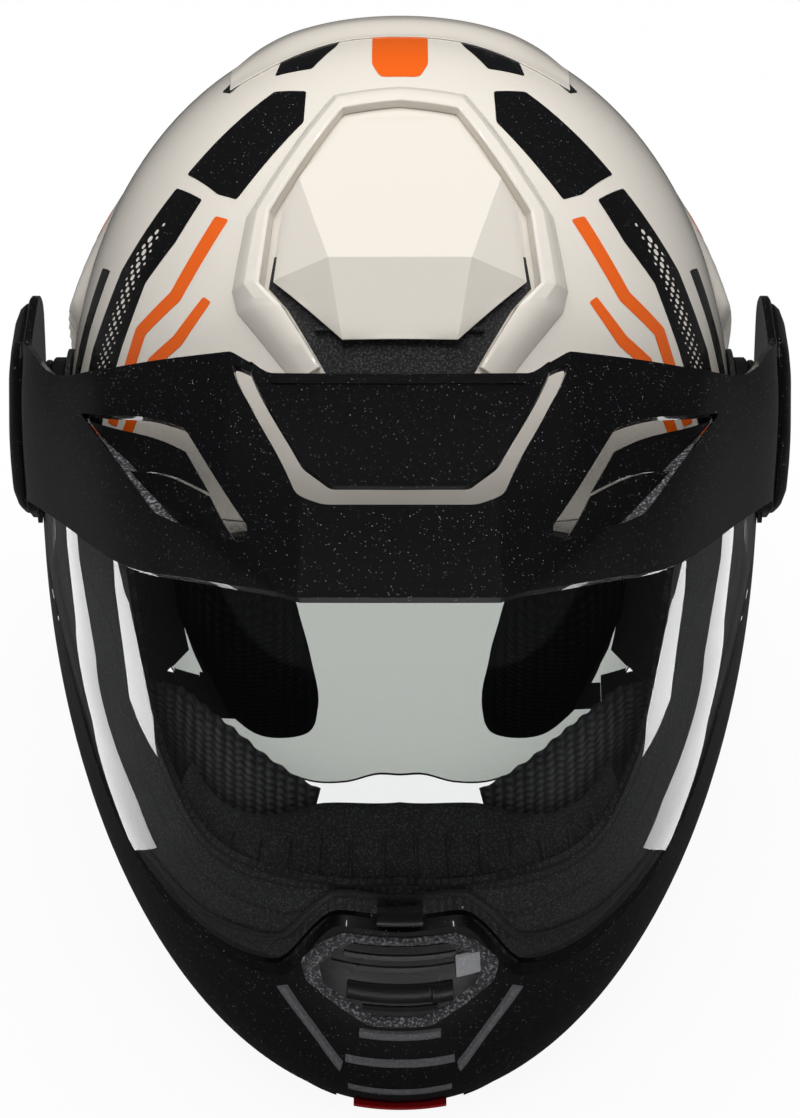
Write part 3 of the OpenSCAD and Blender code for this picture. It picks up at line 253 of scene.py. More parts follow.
# %% Side profiles and the distance of each skin
SKIRT_R = AXIS_H * 2.47
shell_profile = [(-115, BACK_R + 68), (-90, SKIRT_R), (-68, BROW_R + 88), (-45, BROW_R + 58),
                 (-20, BROW_R + 35), (0, BROW_R + 15), (26, BROW_R), (50, BROW_R - 1), (75, CROWN_R - 3),
                 (100, CROWN_R), (125, CROWN_R + 1), (150, BACK_R - 5), (165, BACK_R - 1), (180, BACK_R),
                 (200, BACK_R - 4), (224, BACK_R + 6), (245, BACK_R + 68), (270, SKIRT_R), (292, BROW_R + 88)]
shell_width = [(-115, SKIRT_W - 1), (-90, SKIRT_W - 1), (-68, SKIRT_W - 3), (-55, SHELL_W + 1),
               (-40, SHELL_W), (139, SHELL_W), (152, SKIRT_W - 1), (180, SKIRT_W), (245, SKIRT_W),
               (270, SKIRT_W - 1), (292, SKIRT_W - 3)]
face_profile = [(-90, CHIN_R + 44), (-64, CHIN_R - 5), (-45, CHIN_R - 11), (-34, CHIN_R - 12), (-28, CHIN_R),
                (-20, CHIN_R - 13), (-12, CHIN_R - 31), (0, CHIN_R - 56), (15, CHIN_R - 76),
                (26, CHIN_R - 85), (36, CHIN_R - 88), (60, CHIN_R - 91), (120, CHIN_R - 91),
                (180, CHIN_R - 64), (270, CHIN_R + 44)]
foam_profile = [(-90, 168), (0, BROW_R - 37), (26, BROW_R - 35), (60, CROWN_R - 37), (90, CROWN_R - 32),
                (120, CROWN_R - 28), (150, BACK_R - 36), (180, BACK_R - 35), (225, BACK_R - 20), (270, 168)]


def shell_at(d):
    a = pitch(d)
    side = np.maximum(np.abs(d[..., 0]), 0.01)
    off = np.hypot(d[..., 1], d[..., 2]) * POCKET_X / side
    behind = np.where(a < 0, 1 - ramp(a, -74, -64), ramp(a, 140, 152))
    return np.minimum(reach(d, curve(shell_profile, a), curve(shell_width, a), 2.15),
                      (POCKET_X + 14 * behind * ramp(off, 46, 58)) / side)


def face_at(d):
    a = pitch(d)
    return reach(d, curve(face_profile, a), FACE_W, np.interp(a, [-20, 30], [2, 2.2]))


def foam_at(d):
    return reach(d, curve(foam_profile, pitch(d)), FOAM_W, 2.2)


def foam_outer_at(d):
    a = pitch(d)
    near_axis = 1 - ramp(np.hypot(d[..., 1], d[..., 2]), 0.15, 0.26)
    slot = SLOT_DEPTH * np.maximum(ramp(a, -75, -50) * (1 - ramp(a, 98, 122)), near_axis)
    return shell_at(d) - SHELL_T - FOAM_GAP - slot


def visor_at(d):
    return reach(d, VISOR_R, POCKET_X - 7, 2.15)


def on_skin(distance_at, a, b, h=0.0):
    """Points at height h over a skin, for pitch and lateral angles."""
    d = direction(np.asarray(a, float), np.asarray(b, float))
    return d * (distance_at(d) + h)[..., None]


print("crown", round(float(shell_at(direction(90, 0))), 1), "mm from the axis, chin",
      round(float(face_at(direction(-28, 0))), 1))

# %% [markdown]
# ## From grids to closed pieces
# A moulded skin is two grids, outside and inside, with a wall round the edge. A swept strip is one
# section repeated along a path. These three helpers make most of the shapes. Each finished piece
# prints its volume, unless it has very many faces: a negative one means that its faces point inwards.


# %% Mesh helpers
def skin(outer, inner):
    """Closed solid between two grids of points with the same rows and columns."""
    m, n = outer.shape[:2]
    o = m * n
    i, j = np.mgrid[0:m - 1, 0:n - 1]
    a = (i * n + j).ravel()
    faces = [tuple(q) for q in np.stack([a, a + 1, a + n + 1, a + n], 1).tolist()]
    faces += [tuple(q) for q in np.stack([o + a, o + a + n, o + a + n + 1, o + a + 1], 1).tolist()]
    rim = list(range(n)) + [k * n + n - 1 for k in range(1, m)]
    rim += [(m - 1) * n + k for k in range(n - 2, -1, -1)] + [k * n for k in range(m - 2, 0, -1)]
    faces += [(p, o + p, o + q, q) for p, q in zip(rim, rim[1:] + rim[:1])]
    return np.concatenate([outer.reshape(-1, 3), inner.reshape(-1, 3)]), faces


def dish(outer_mid, outer, inner_mid, inner):
    """Closed solid between two dishes of rings round a middle point."""
    m, n = outer.shape[:2]
    o = m * n
    faces = []
    for i in range(m - 1):
        for j in range(n):
            a, b = i * n + j, i * n + (j + 1) % n
            faces.append((a, a + n, b + n, b))
            faces.append((o + a, o + b, o + b + n, o + a + n))
    for j in range(n):
        k = (j + 1) % n
        e, f = (m - 1) * n + j, (m - 1) * n + k
        faces += [(2 * o, j, k), (2 * o + 1, o + k, o + j), (e, o + e, o + f, f)]
    return np.concatenate([outer.reshape(-1, 3), inner.reshape(-1, 3), [outer_mid, inner_mid]]), faces


def sweep(rings, closed=False):
    """Closed solid swept through sections of equal length."""
    rings = np.asarray(rings, float)
    m, n = rings.shape[:2]
    faces = []
    for i in range(m if closed else m - 1):
        for j in range(n):
            a, b = i * n + j, i * n + (j + 1) % n
            c, d = (i + 1) % m * n + j, (i + 1) % m * n + (j + 1) % n
            faces.append((a, b, d, c))
    if not closed:
        faces += [tuple(range(n - 1, -1, -1)), tuple((m - 1) * n + j for j in range(n))]
    return rings.reshape(-1, 3), faces


def joined(*shapes):
    """Several closed shapes as one."""
    points, faces, start = [], [], 0
    for p, f in shapes:
        points.append(np.asarray(p, float).reshape(-1, 3))
        faces += [tuple(start + v for v in face) for face in f]
        start += len(points[-1])
    return np.concatenate(points), faces


def mirrored(shape):
    points, faces = shape
    return np.asarray(points, float) * [-1, 1, 1], [tuple(reversed(f)) for f in faces]


def pair(shape):
    return joined(shape, mirrored(shape))


def volume(points, faces):
    total = 0.0
    for f in faces:
        for k in range(1, len(f) - 1):
            total += np.dot(points[f[0]], np.cross(points[f[k]], points[f[k + 1]]))
    return total / 6000


def piece(name, shape, finish, body, replaces=(), sharp=32.0, rounding=0.0):
    """Named piece from a closed shape in millimetres about the hinge's middle."""
    points, faces = shape
    points = np.asarray(points, float)
    v = volume(points, faces) if len(faces) < 9000 else float("nan")
    mesh = bpy.data.meshes.new(name)
    mesh.from_pydata((points * 0.001 + np.array(hinge)).tolist(), [], faces)
    mesh.materials.append(finish)
    mesh.shade_smooth()
    mesh.set_sharp_from_angle(angle=math.radians(sharp))
    obj = bpy.data.objects.new(name, mesh)
    scene.collection.objects.link(obj)
    if rounding:
        bevel = obj.modifiers.new("rounded_edges", "BEVEL")
        bevel.width = rounding * 0.001
        bevel.segments = 2
        bevel.limit_method = "ANGLE"
        bevel.angle_limit = math.radians(sharp)
        bevel.harden_normals = True
    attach(obj, body)
    if replaces:
        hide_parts(*replaces)
    print(f"{name}: {len(faces)} faces, {v:.1f} cm3")
    if v < 0:
        raise ValueError(f"{name} is inside out")
    return obj


# %% [markdown]
# ## Effects that several finishes share
# Moulded plastic has a fine grain and spray paint a faint ripple. Metallic lacquer carries flakes, painted as
# sparse bright dots in the base colour, each with its own brightness: painted glints that stay bright under
# any lamp.
# Each effect is a node group with its sizes as inputs. A group only gives colours, masks and normals, and the
# shader itself stays in each material.


# %% Group builder
def new_group(name, inputs, outputs):
    tree = bpy.data.node_groups.new(name, "ShaderNodeTree")
    for label, kind, value in inputs:
        socket = tree.interface.new_socket(label, in_out="INPUT", socket_type="NodeSocket" + kind)
        if value is not None:
            socket.default_value = value
    for label, kind in outputs:
        tree.interface.new_socket(label, in_out="OUTPUT", socket_type="NodeSocket" + kind)
    return tree, tree.nodes.new("NodeGroupInput").outputs, tree.nodes.new("NodeGroupOutput").inputs


def place_group(tree, group, vector, **values):
    node = tree.nodes.new("ShaderNodeGroup")
    node.node_tree = group
    tree.links.new(vector, node.inputs["Vector"])
    for label, value in values.items():
        socket = node.inputs[label.replace("_", " ")]
        if isinstance(value, bpy.types.NodeSocket):
            tree.links.new(value, socket)
        else:
            socket.default_value = value
    return node.outputs


def noise(tree, vector, scale, detail=2.0):
    node = tree.nodes.new("ShaderNodeTexNoise")
    node.inputs["Detail"].default_value = detail
    if isinstance(scale, (int, float)):
        node.inputs["Scale"].default_value = scale
    else:
        tree.links.new(scale, node.inputs["Scale"])
    tree.links.new(vector, node.inputs["Vector"])
    return node.outputs["Fac"]


def bump(tree, height, strength, distance=0.001, normal=None):
    node = tree.nodes.new("ShaderNodeBump")
    node.inputs["Distance"].default_value = distance
    for value, target in ((height, node.inputs["Height"]), (strength, node.inputs["Strength"])):
        if isinstance(value, (int, float)):
            target.default_value = value
        else:
            tree.links.new(value, target)
    if normal is not None:
        tree.links.new(normal, node.inputs["Normal"])
    return node.outputs["Normal"]


def mix_color(tree, share, a, b, kind="MIX"):
    node = tree.nodes.new("ShaderNodeMix")
    node.data_type = "RGBA"
    node.blend_type = kind
    for value, target in ((share, node.inputs[0]), (a, node.inputs[6]), (b, node.inputs[7])):
        if isinstance(value, (int, float, tuple)):
            target.default_value = value
        else:
            tree.links.new(value, target)
    return node.outputs[2]


# %% Metallic flakes, painted as glints in the base colour
painted_flake_glints, gin, gout = new_group(
    "lacquer_flakes_painted_glints",
    [("Vector", "Vector", None), ("Cells per metre", "Float", 1800.0), ("Share", "Float", 0.03),
     ("Lacquer", "Color", (0, 0, 0, 1)), ("Flake", "Color", (1, 1, 1, 1))],
    [("Color", "Color"), ("Mask", "Float")])
cells = painted_flake_glints.nodes.new("ShaderNodeTexVoronoi")
link(painted_flake_glints, (gin["Vector"], cells.inputs["Vector"]), (gin["Cells per metre"], cells.inputs["Scale"]))
split = painted_flake_glints.nodes.new("ShaderNodeSeparateColor")
link(painted_flake_glints, (cells.outputs["Color"], split.inputs[0]))
chosen = math_node(painted_flake_glints, "LESS_THAN", split.outputs[0], gin["Share"])
dot = math_node(painted_flake_glints, "LESS_THAN", cells.outputs["Distance"], 0.42)
# Each chosen flake gets a random brightness: a painted glint, bright under any lamp
painted_glint = math_node(painted_flake_glints, "POWER", split.outputs[1], 2.2)
painted_highlight_mask = math_node(painted_flake_glints, "MULTIPLY", math_node(painted_flake_glints, "MULTIPLY", chosen, dot), painted_glint)
link(painted_flake_glints, (painted_highlight_mask, gout["Mask"]), (mix_color(painted_flake_glints, painted_highlight_mask, gin["Lacquer"], gin["Flake"]), gout["Color"]))

# %% Ripple of sprayed paint
ripple, gin, gout = new_group(
    "paint_ripple",
    [("Vector", "Vector", None), ("Ripples per metre", "Float", 260.0), ("Strength", "Float", 0.05)],
    [("Normal", "Vector")])
waves = noise(ripple, gin["Vector"], gin["Ripples per metre"])
link(ripple, (bump(ripple, waves, gin["Strength"], 0.0006), gout["Normal"]))

# %% Grain of moulded plastic
grain, gin, gout = new_group(
    "moulded_grain",
    [("Vector", "Vector", None), ("Grains per metre", "Float", 1400.0), ("Depth", "Float", 0.35),
     ("Body", "Color", (0.02, 0.02, 0.02, 1)), ("Speck", "Color", (0.12, 0.12, 0.12, 1)),
     ("Speck share", "Float", 0.5), ("Gloss", "Float", 0.5)],
    [("Color", "Color"), ("Roughness", "Float"), ("Normal", "Vector")])
fine = noise(grain, gin["Vector"], gin["Grains per metre"], 3.0)
broad = noise(grain, gin["Vector"], 35.0, 2.0)
specks = math_node(grain, "MULTIPLY", math_node(grain, "SUBTRACT", fine, 0.5, True), 5.0, True)
specks = math_node(grain, "MULTIPLY", specks, gin["Speck share"])
uneven = math_node(grain, "MULTIPLY", math_node(grain, "SUBTRACT", broad, 0.5), 0.18)
rough = math_node(grain, "ADD", gin["Gloss"], uneven)
link(grain, (mix_color(grain, specks, gin["Body"], gin["Speck"]), gout["Color"]), (rough, gout["Roughness"]),
     (bump(grain, fine, gin["Depth"], 0.0006), gout["Normal"]))

# %% Knitted cloth
knit, gin, gout = new_group(
    "knitted_cloth",
    [("Vector", "Vector", None), ("Ribs per metre", "Float", 300.0), ("Rib depth", "Float", 0.8),
     ("Yarn", "Color", (0.03, 0.03, 0.03, 1)), ("Light yarn", "Color", (0.1, 0.1, 0.1, 1))],
    [("Color", "Color"), ("Normal", "Vector")])
ribs = knit.nodes.new("ShaderNodeTexWave")
ribs.bands_direction = "X"
ribs.inputs["Distortion"].default_value = 0.6
ribs.inputs["Detail Scale"].default_value = 3.0
stitch = knit.nodes.new("ShaderNodeTexWave")
stitch.bands_direction = "Z"
stitch.inputs["Distortion"].default_value = 1.2
rib_scale = math_node(knit, "MULTIPLY", gin["Ribs per metre"], 0.314)
stitch_scale = math_node(knit, "MULTIPLY", rib_scale, 1.7)
link(knit, (gin["Vector"], ribs.inputs["Vector"]), (rib_scale, ribs.inputs["Scale"]),
     (gin["Vector"], stitch.inputs["Vector"]), (stitch_scale, stitch.inputs["Scale"]))
fuzz = noise(knit, gin["Vector"], 2600.0, 2.0)
height = math_node(knit, "ADD", ribs.outputs["Fac"], math_node(knit, "MULTIPLY", stitch.outputs["Fac"], 0.45))
height = math_node(knit, "ADD", height, math_node(knit, "MULTIPLY", fuzz, 0.5))
pale = math_node(knit, "MULTIPLY", math_node(knit, "MULTIPLY", ribs.outputs["Fac"], stitch.outputs["Fac"]),
                 fuzz, True)
link(knit, (mix_color(knit, pale, gin["Yarn"], gin["Light yarn"]), gout["Color"]),
     (bump(knit, height, gin["Rib depth"], 0.0008), gout["Normal"]))

# %% Moulded bead foam
beads, gin, gout = new_group(
    "bead_foam", [("Vector", "Vector", None), ("Beads per metre", "Float", 260.0), ("Depth", "Float", 0.6),
                  ("Body", "Color", (0.03, 0.03, 0.03, 1)), ("Edge", "Color", (0.01, 0.01, 0.01, 1))],
    [("Color", "Color"), ("Normal", "Vector")])
bead = beads.nodes.new("ShaderNodeTexVoronoi")
bead.feature = "SMOOTH_F1"
link(beads, (gin["Vector"], bead.inputs["Vector"]), (gin["Beads per metre"], bead.inputs["Scale"]))
link(beads, (mix_color(beads, bead.outputs["Distance"], gin["Body"], gin["Edge"]), gout["Color"]),
     (bump(beads, math_node(beads, "SUBTRACT", 1.0, bead.outputs["Distance"]), gin["Depth"], 0.0008),
      gout["Normal"]))

# %% [markdown]
# ## Finishes
# The shell is cream with a faint pearl, under clear lacquer: the pearl is painted glints, a few paler dots in
# the base colour. The peak and chin bar are black lacquer with silver flakes, painted as bright dots in the
# base colour, so their glints are painted. Trim parts are grained black plastic, the seals are rubber, and
# the lining is knitted. The shield
# and the inner visor are polycarbonate: they refract, and lamps reach what is behind them through a Light
# Path switch, because glass would otherwise put the face opening in shadow.


# %% Lacquers
# The flake colour is painted into the base colour as sparse bright dots: painted glints
def lacquer(name, paint, painted_glint_color, share, cells=3600.0, ripple_strength=0.05, rough=0.4, metallic=0.0,
            gloss=0.03):
    material, tree, shader, coords = add_material(name)
    dots = place_group(tree, painted_flake_glints, coords, Cells_per_metre=cells, Share=share, Lacquer=(*paint, 1),
                       Flake=(*painted_glint_color, 1))
    tree.links.new(dots["Color"], shader.inputs["Base Color"])
    tree.links.new(place_group(tree, ripple, coords, Strength=ripple_strength)["Normal"],
                   shader.inputs["Normal"])
    shader.inputs["Roughness"].default_value = rough
    shader.inputs["Metallic"].default_value = metallic
    shader.inputs["Coat Weight"].default_value = 1.0
    shader.inputs["Coat Roughness"].default_value = gloss
    return material


cream_paint = lacquer("cream_pearl_lacquer", (0.80, 0.745, 0.66), (1.0, 0.98, 0.92), 0.01, rough=0.42)
cream_vent = lacquer("cream_vent_lacquer", (0.79, 0.735, 0.65), (1.0, 0.98, 0.92), 0.01, rough=0.42)
black_lacquer = lacquer("black_flake_lacquer", (0.0025, 0.0025, 0.003), (0.85, 0.87, 0.9), 0.022)
black_panel = lacquer("black_panel_lacquer", (0.005, 0.005, 0.0055), (0.8, 0.82, 0.85), 0.02)
orange_panel = lacquer("orange_panel_lacquer", (0.90, 0.13, 0.004), (1.0, 0.5, 0.2), 0.01)
red_plastic = lacquer("red_button_plastic", (0.45, 0.006, 0.008), (0.7, 0.1, 0.1), 0.0)


# %% Plastics, rubber and metal
def moulded(name, body, speck, share, gloss, depth=0.35, grains=1400.0):
    material, tree, shader, coords = add_material(name)
    out = place_group(tree, grain, coords, Grains_per_metre=grains, Depth=depth, Body=(*body, 1),
                      Speck=(*speck, 1), Speck_share=share, Gloss=gloss)
    link(tree, (out["Color"], shader.inputs["Base Color"]), (out["Roughness"], shader.inputs["Roughness"]),
         (out["Normal"], shader.inputs["Normal"]))
    return material


grained_black = moulded("grained_black_plastic", (0.012, 0.012, 0.013), (0.09, 0.09, 0.095), 0.8, 0.5)
speckled_grey = moulded("speckled_grey_plastic", (0.03, 0.03, 0.032), (0.3, 0.3, 0.31), 0.9, 0.42, 0.5,
                        1100.0)
speckled_light = moulded("light_grey_plastic", (0.30, 0.30, 0.31), (0.45, 0.45, 0.46), 0.6, 0.35, 0.3, 1100.0)
# Lighter grey for the chin's keel lines, bar and lip: painted highlight lines on the black chin bar
painted_highlight_grey = moulded("painted_highlight_grey_plastic", (0.10, 0.10, 0.105), (0.2, 0.2, 0.21), 0.6, 0.4, 0.15, 1100.0)
smooth_black = moulded("smooth_black_plastic", (0.008, 0.008, 0.009), (0.03, 0.03, 0.03), 0.3, 0.28, 0.08)
seal_rubber = moulded("seal_rubber", (0.010, 0.010, 0.010), (0.035, 0.035, 0.035), 0.6, 0.62, 0.2, 900.0)
steel, tree, shader, coords = add_material("brushed_steel")
shader.inputs["Base Color"].default_value = (0.56, 0.57, 0.58, 1)
shader.inputs["Metallic"].default_value = 1.0
brushed = place_group(tree, grain, coords, Grains_per_metre=2200.0, Depth=0.15, Gloss=0.3)
link(tree, (brushed["Roughness"], shader.inputs["Roughness"]), (brushed["Normal"], shader.inputs["Normal"]))


# %% Cloth and foam
def cloth(name, yarn, light, ribs_per_metre, depth):
    material, tree, shader, coords = add_material(name)
    out = place_group(tree, knit, coords, Ribs_per_metre=ribs_per_metre, Rib_depth=depth, Yarn=(*yarn, 1),
                      Light_yarn=(*light, 1))
    link(tree, (out["Color"], shader.inputs["Base Color"]), (out["Normal"], shader.inputs["Normal"]))
    shader.inputs["Roughness"].default_value = 0.85
    shader.inputs["Sheen Weight"].default_value = 0.25
    shader.inputs["Sheen Roughness"].default_value = 0.5
    return material


ribbed_cloth = cloth("ribbed_pad_cloth", (0.014, 0.014, 0.015), (0.16, 0.16, 0.165), 290.0, 1.0)
mesh_cloth = cloth("mesh_crown_cloth", (0.02, 0.02, 0.021), (0.12, 0.12, 0.125), 620.0, 0.8)
webbing = cloth("woven_webbing", (0.012, 0.012, 0.012), (0.09, 0.09, 0.09), 800.0, 0.9)
foam_black, tree, shader, coords = add_material("black_bead_foam")
out = place_group(tree, beads, coords, Body=(0.022, 0.022, 0.023, 1), Edge=(0.008, 0.008, 0.008, 1))
link(tree, (out["Color"], shader.inputs["Base Color"]), (out["Normal"], shader.inputs["Normal"]))
shader.inputs["Roughness"].default_value = 0.7


# %% Clear and smoked polycarbonate
def clear_plastic(name, tint, rough=0.0):
    material, tree, shader, _ = add_material(name)
    shader.inputs["Base Color"].default_value = (*tint, 1)
    shader.inputs["Roughness"].default_value = rough
    shader.inputs["IOR"].default_value = 1.49
    shader.inputs["Transmission Weight"].default_value = 1.0
    through = tree.nodes.new("ShaderNodeBsdfTransparent")
    through.inputs["Color"].default_value = (*(c**0.5 for c in tint), 1)
    mix = tree.nodes.new("ShaderNodeMixShader")
    path = tree.nodes.new("ShaderNodeLightPath")
    link(tree, (path.outputs["Is Shadow Ray"], mix.inputs[0]), (shader.outputs[0], mix.inputs[1]),
         (through.outputs[0], mix.inputs[2]),
         (mix.outputs[0], tree.nodes["Material Output"].inputs["Surface"]))
    return material


clear_shield = clear_plastic("clear_polycarbonate", (0.97, 0.98, 0.98))
smoked_lens = clear_plastic("smoked_polycarbonate", (0.56, 0.59, 0.555))
print("materials:", len(bpy.data.materials))

# %% [markdown]
# ## The outer shell
# The real shell is laid up in a mould and then trimmed to its edge line, so its surface is one smooth
# skin. Rings run from a point on the crown out to the edge, each one a share of the way, which
# puts the rows of faces parallel to the trimmed edge and keeps that edge clean.

# %% Edge lines
opening_edge = [(-67, 41.5), (-55, 50), (-38, 53), (-17, 53), (3, 48.5), (16, 38.6), (22.5, 25),
                (25.3, 12), (26, 0)]
corner_f = -math.degrees(math.atan2(CORNER_Y, SKIRT_W - 11))


def rim_dir(f, h, distance_at):
    """Direction to the bottom edge in plan direction f, for a skin that ends at height -h."""
    f = np.radians(np.asarray(f, float))
    e = np.full(f.shape, math.radians(-40.0))
    for step in range(7):
        d = np.stack([np.cos(e) * np.cos(f), np.cos(e) * np.sin(f), np.sin(e)], -1)
        if step < 6:
            e = -np.arctan2(h, distance_at(d) * np.cos(e))
    return d


def edge_loop(h, distance_at, back, up, brow_steps, rim_steps):
    s = np.arange(1, brow_steps + 1) / brow_steps
    p = spline(opening_edge, s * (len(opening_edge) - 1))
    right = direction(p[:, 0] + up * ramp(s, 0.35, 0.9), p[:, 1] + back * (1 - ramp(s, 0.6, 1)))
    rim = rim_dir(np.linspace(corner_f, 180 - corner_f, rim_steps + 1), h, distance_at)
    return np.concatenate([rim, right * [-1, 1, 1], right[-2::-1]])


def skin_rings(edge, rings, top=(112, 0)):
    mid = direction(*top)
    return mid, np.stack([slerp(mid, edge, i / rings) for i in range(1, rings + 1)])


# %% Shell
shell_edge = edge_loop(AXIS_H - 3, shell_at, 0, 0, 56, 168)
mid, rings = skin_rings(shell_edge, 64)
outer = rings * shell_at(rings)[..., None]
inner = rings * (shell_at(rings) - SHELL_T)[..., None]
piece("helmet_shell", dish(mid * shell_at(mid), outer, mid * (shell_at(mid) - SHELL_T), inner),
      cream_paint, "shell", replaces=["outer_shell"], sharp=50)

# %% Foam liner
foam_edge = edge_loop(AXIS_H - 17, foam_outer_at, 2, 2, 36, 96)
mid, rings = skin_rings(foam_edge, 36)
outer = rings * foam_outer_at(rings)[..., None]
inner = rings * foam_at(rings)[..., None]
piece("impact_foam", dish(mid * foam_outer_at(mid), outer, mid * foam_at(mid), inner),
      foam_black, "shell", replaces=["eps_liner"], sharp=50)

# %% [markdown]
# ## Chin bar, face shield and inner visor
# All three are strips between two edge lines. Each edge is a curve of pitch against lateral angle. The
# chin bar is widest at the chin and runs up into two arms. The shield sits on a ledge that is moulded
# into it, so the two outer surfaces meet flush at a thin seam.

# %% Edge curves
shield_low = [(0, -9.8), (5.8, -9.8), (7.6, -11.2), (11.3, -16.2), (26, -19.4), (33, -19), (46, -13.5),
              (58, -10), (68, -14), (76, -42), (79, -56)]
shield_top = [(0, 30), (20, 29.5), (35, 30), (50, 33), (62, 38), (70, 42), (76, 55), (79, 68)]
chin_top = [(0, -7.5), (10, -8.5), (20, -9.5), (26, -6), (31, 0), (36, 12), (40, 22), (48, 27), (60, 32),
            (70, 42), (79, 64)]
visor_low = [(0, -17.5), (3.5, -17.5), (8, -21), (14, -23.5), (28, -21), (42, -8), (55, 8), (68, 16),
             (80, 4), (86, -20)]
visor_top = [(0, 44), (30, 44), (50, 48), (68, 50), (80, 52), (86, 60)]
CHIN_GAP_Y, CHIN_Z = CORNER_Y + 2.5, AXIS_H - 2.0
RECESS, SEAM, ARM_END = 4.0, 1.0, 79.0


def edge_pitch(b, kind):
    """Pitch at which the face skin meets the bottom plane or the plane of its rear edge."""
    b = np.asarray(b, float)
    a = np.full(b.shape, -30.0 if kind == "rim" else -50.0)
    for _ in range(6):
        r = face_at(direction(a, b)) * np.cos(np.radians(b))
        if kind == "rim":
            a = -np.degrees(np.arcsin(np.minimum(0.99, CHIN_Z / r)))
        else:
            a = -np.degrees(np.arccos(np.minimum(1, CHIN_GAP_Y / r)))
    return a


def chin_low(b):
    c = np.abs(b)
    inside = np.minimum(c, 66)
    line = np.maximum(edge_pitch(inside, "rim"), edge_pitch(inside, "rear"))
    return np.where(c < 66, line, edge_pitch(np.float64(66), "rear") - 3 * (c - 66))


def strip(half, steps):
    return half * (2 * np.arange(steps + 1) / steps - 1)


def rows_between(low, high, shares, columns, distance_at, height):
    """Grid on a skin between two edge pitches, one row for each share."""
    return np.stack([on_skin(distance_at, low + (high - low) * s, columns, height) for s in shares])


# %% Chin bar
b = strip(ARM_END, 260)
slope = (curve(shield_low, np.abs(b) + 1) - curve(shield_low, np.maximum(np.abs(b) - 1, 0))) / 2
seam = curve(shield_low, np.abs(b)) - SEAM * np.hypot(1, slope * np.cos(np.radians(b)))
low = chin_low(b)
ledge_top = np.maximum(curve(chin_top, np.abs(b)), curve(shield_low, np.abs(b)) + 1.4)
body = np.concatenate([[0, 0.012], np.linspace(0.04, 0.97, 40), [0.99, 1]])
ledge = np.array([0.0, 0.06, 0.3, 0.6, 0.9, 1.0])
outer = np.concatenate([rows_between(low, seam, body, b, face_at, 0.0),
                        rows_between(seam + 0.35, ledge_top, ledge, b, face_at, -RECESS)])
inner = np.concatenate([rows_between(low, seam, body, b, face_at, -CHIN_T),
                        rows_between(seam + 0.35, ledge_top, ledge, b, face_at, -RECESS - CHIN_T)])
inner[len(body) - 2:len(body)] = rows_between(low, seam, body[-2:], b, face_at, -RECESS - CHIN_T)
chin_bar = piece("chin_bar_skin", skin(outer, inner), black_lacquer, "chin_bar", sharp=40)

# %% Face shield and inner visor
b = strip(ARM_END, 220)
low, high = curve(shield_low, np.abs(b)), curve(shield_top, np.abs(b))
shares = np.linspace(0, 1, 60)
shield = piece("clear_shield_lens", skin(rows_between(low, high, shares, b, face_at, 0.0),
                                         rows_between(low, high, shares, b, face_at, -SHIELD_T)),
               clear_shield, "face_shield", replaces=["face_shield"], sharp=40)
b = strip(86, 180)
low, high = curve(visor_low, np.abs(b)), curve(visor_top, np.abs(b))
shares = np.linspace(0, 1, 50)
piece("smoked_inner_visor", skin(rows_between(low, high, shares, b, visor_at, 0.0),
                                 rows_between(low, high, shares, b, visor_at, -VISOR_T)),
      smoked_lens, "sun_visor", replaces=["sun_visor"], sharp=40)

# %% [markdown]
# ## Sheets with holes
# Some parts are a sheet with openings in it, or a flat pattern wrapped over a curved skin. Both begin
# as a flat outline, filled with evenly spread triangles. The flat mesh is then wrapped twice, once for
# the top and once for the underside, and walls close the edges. Because every vertex is put on
# the true surface, the reflections stay as smooth as those of the skin below.


# %% Flat outlines
def split_line(points, step, closed=True):
    """The same outline with points no further apart than a step."""
    points = np.asarray(points, float)
    ends = np.roll(points, -1, 0) if closed else points[1:]
    out = []
    for a, b in zip(points, ends):
        n = max(1, int(math.ceil(np.linalg.norm(b - a) / step)))
        out += [a + (b - a) * k / n for k in range(n)]
    if not closed:
        out.append(points[-1])
    return np.array(out)


def rounded(outline, size, steps=4):
    """Outline whose corners are replaced by short curves."""
    p = np.asarray(outline, float)
    out = []
    for before, corner, after in zip(np.roll(p, 1, 0), p, np.roll(p, -1, 0)):
        ends = [corner + (q - corner) * min(0.45, size / max(np.linalg.norm(q - corner), 1e-9))
                for q in (before, after)]
        for k in range(steps + 1):
            t = k / steps
            out.append((1 - t) ** 2 * ends[0] + 2 * t * (1 - t) * corner + t * t * ends[1])
    return np.array(out)


def inside(points, outline):
    x, y = points[:, 0], points[:, 1]
    odd = np.zeros(len(points), bool)
    for (ax, ay), (bx, by) in zip(outline, np.roll(outline, -1, 0)):
        if ay != by:
            odd ^= ((ay > y) != (by > y)) & (x < ax + (y - ay) * (bx - ax) / (by - ay))
    return odd


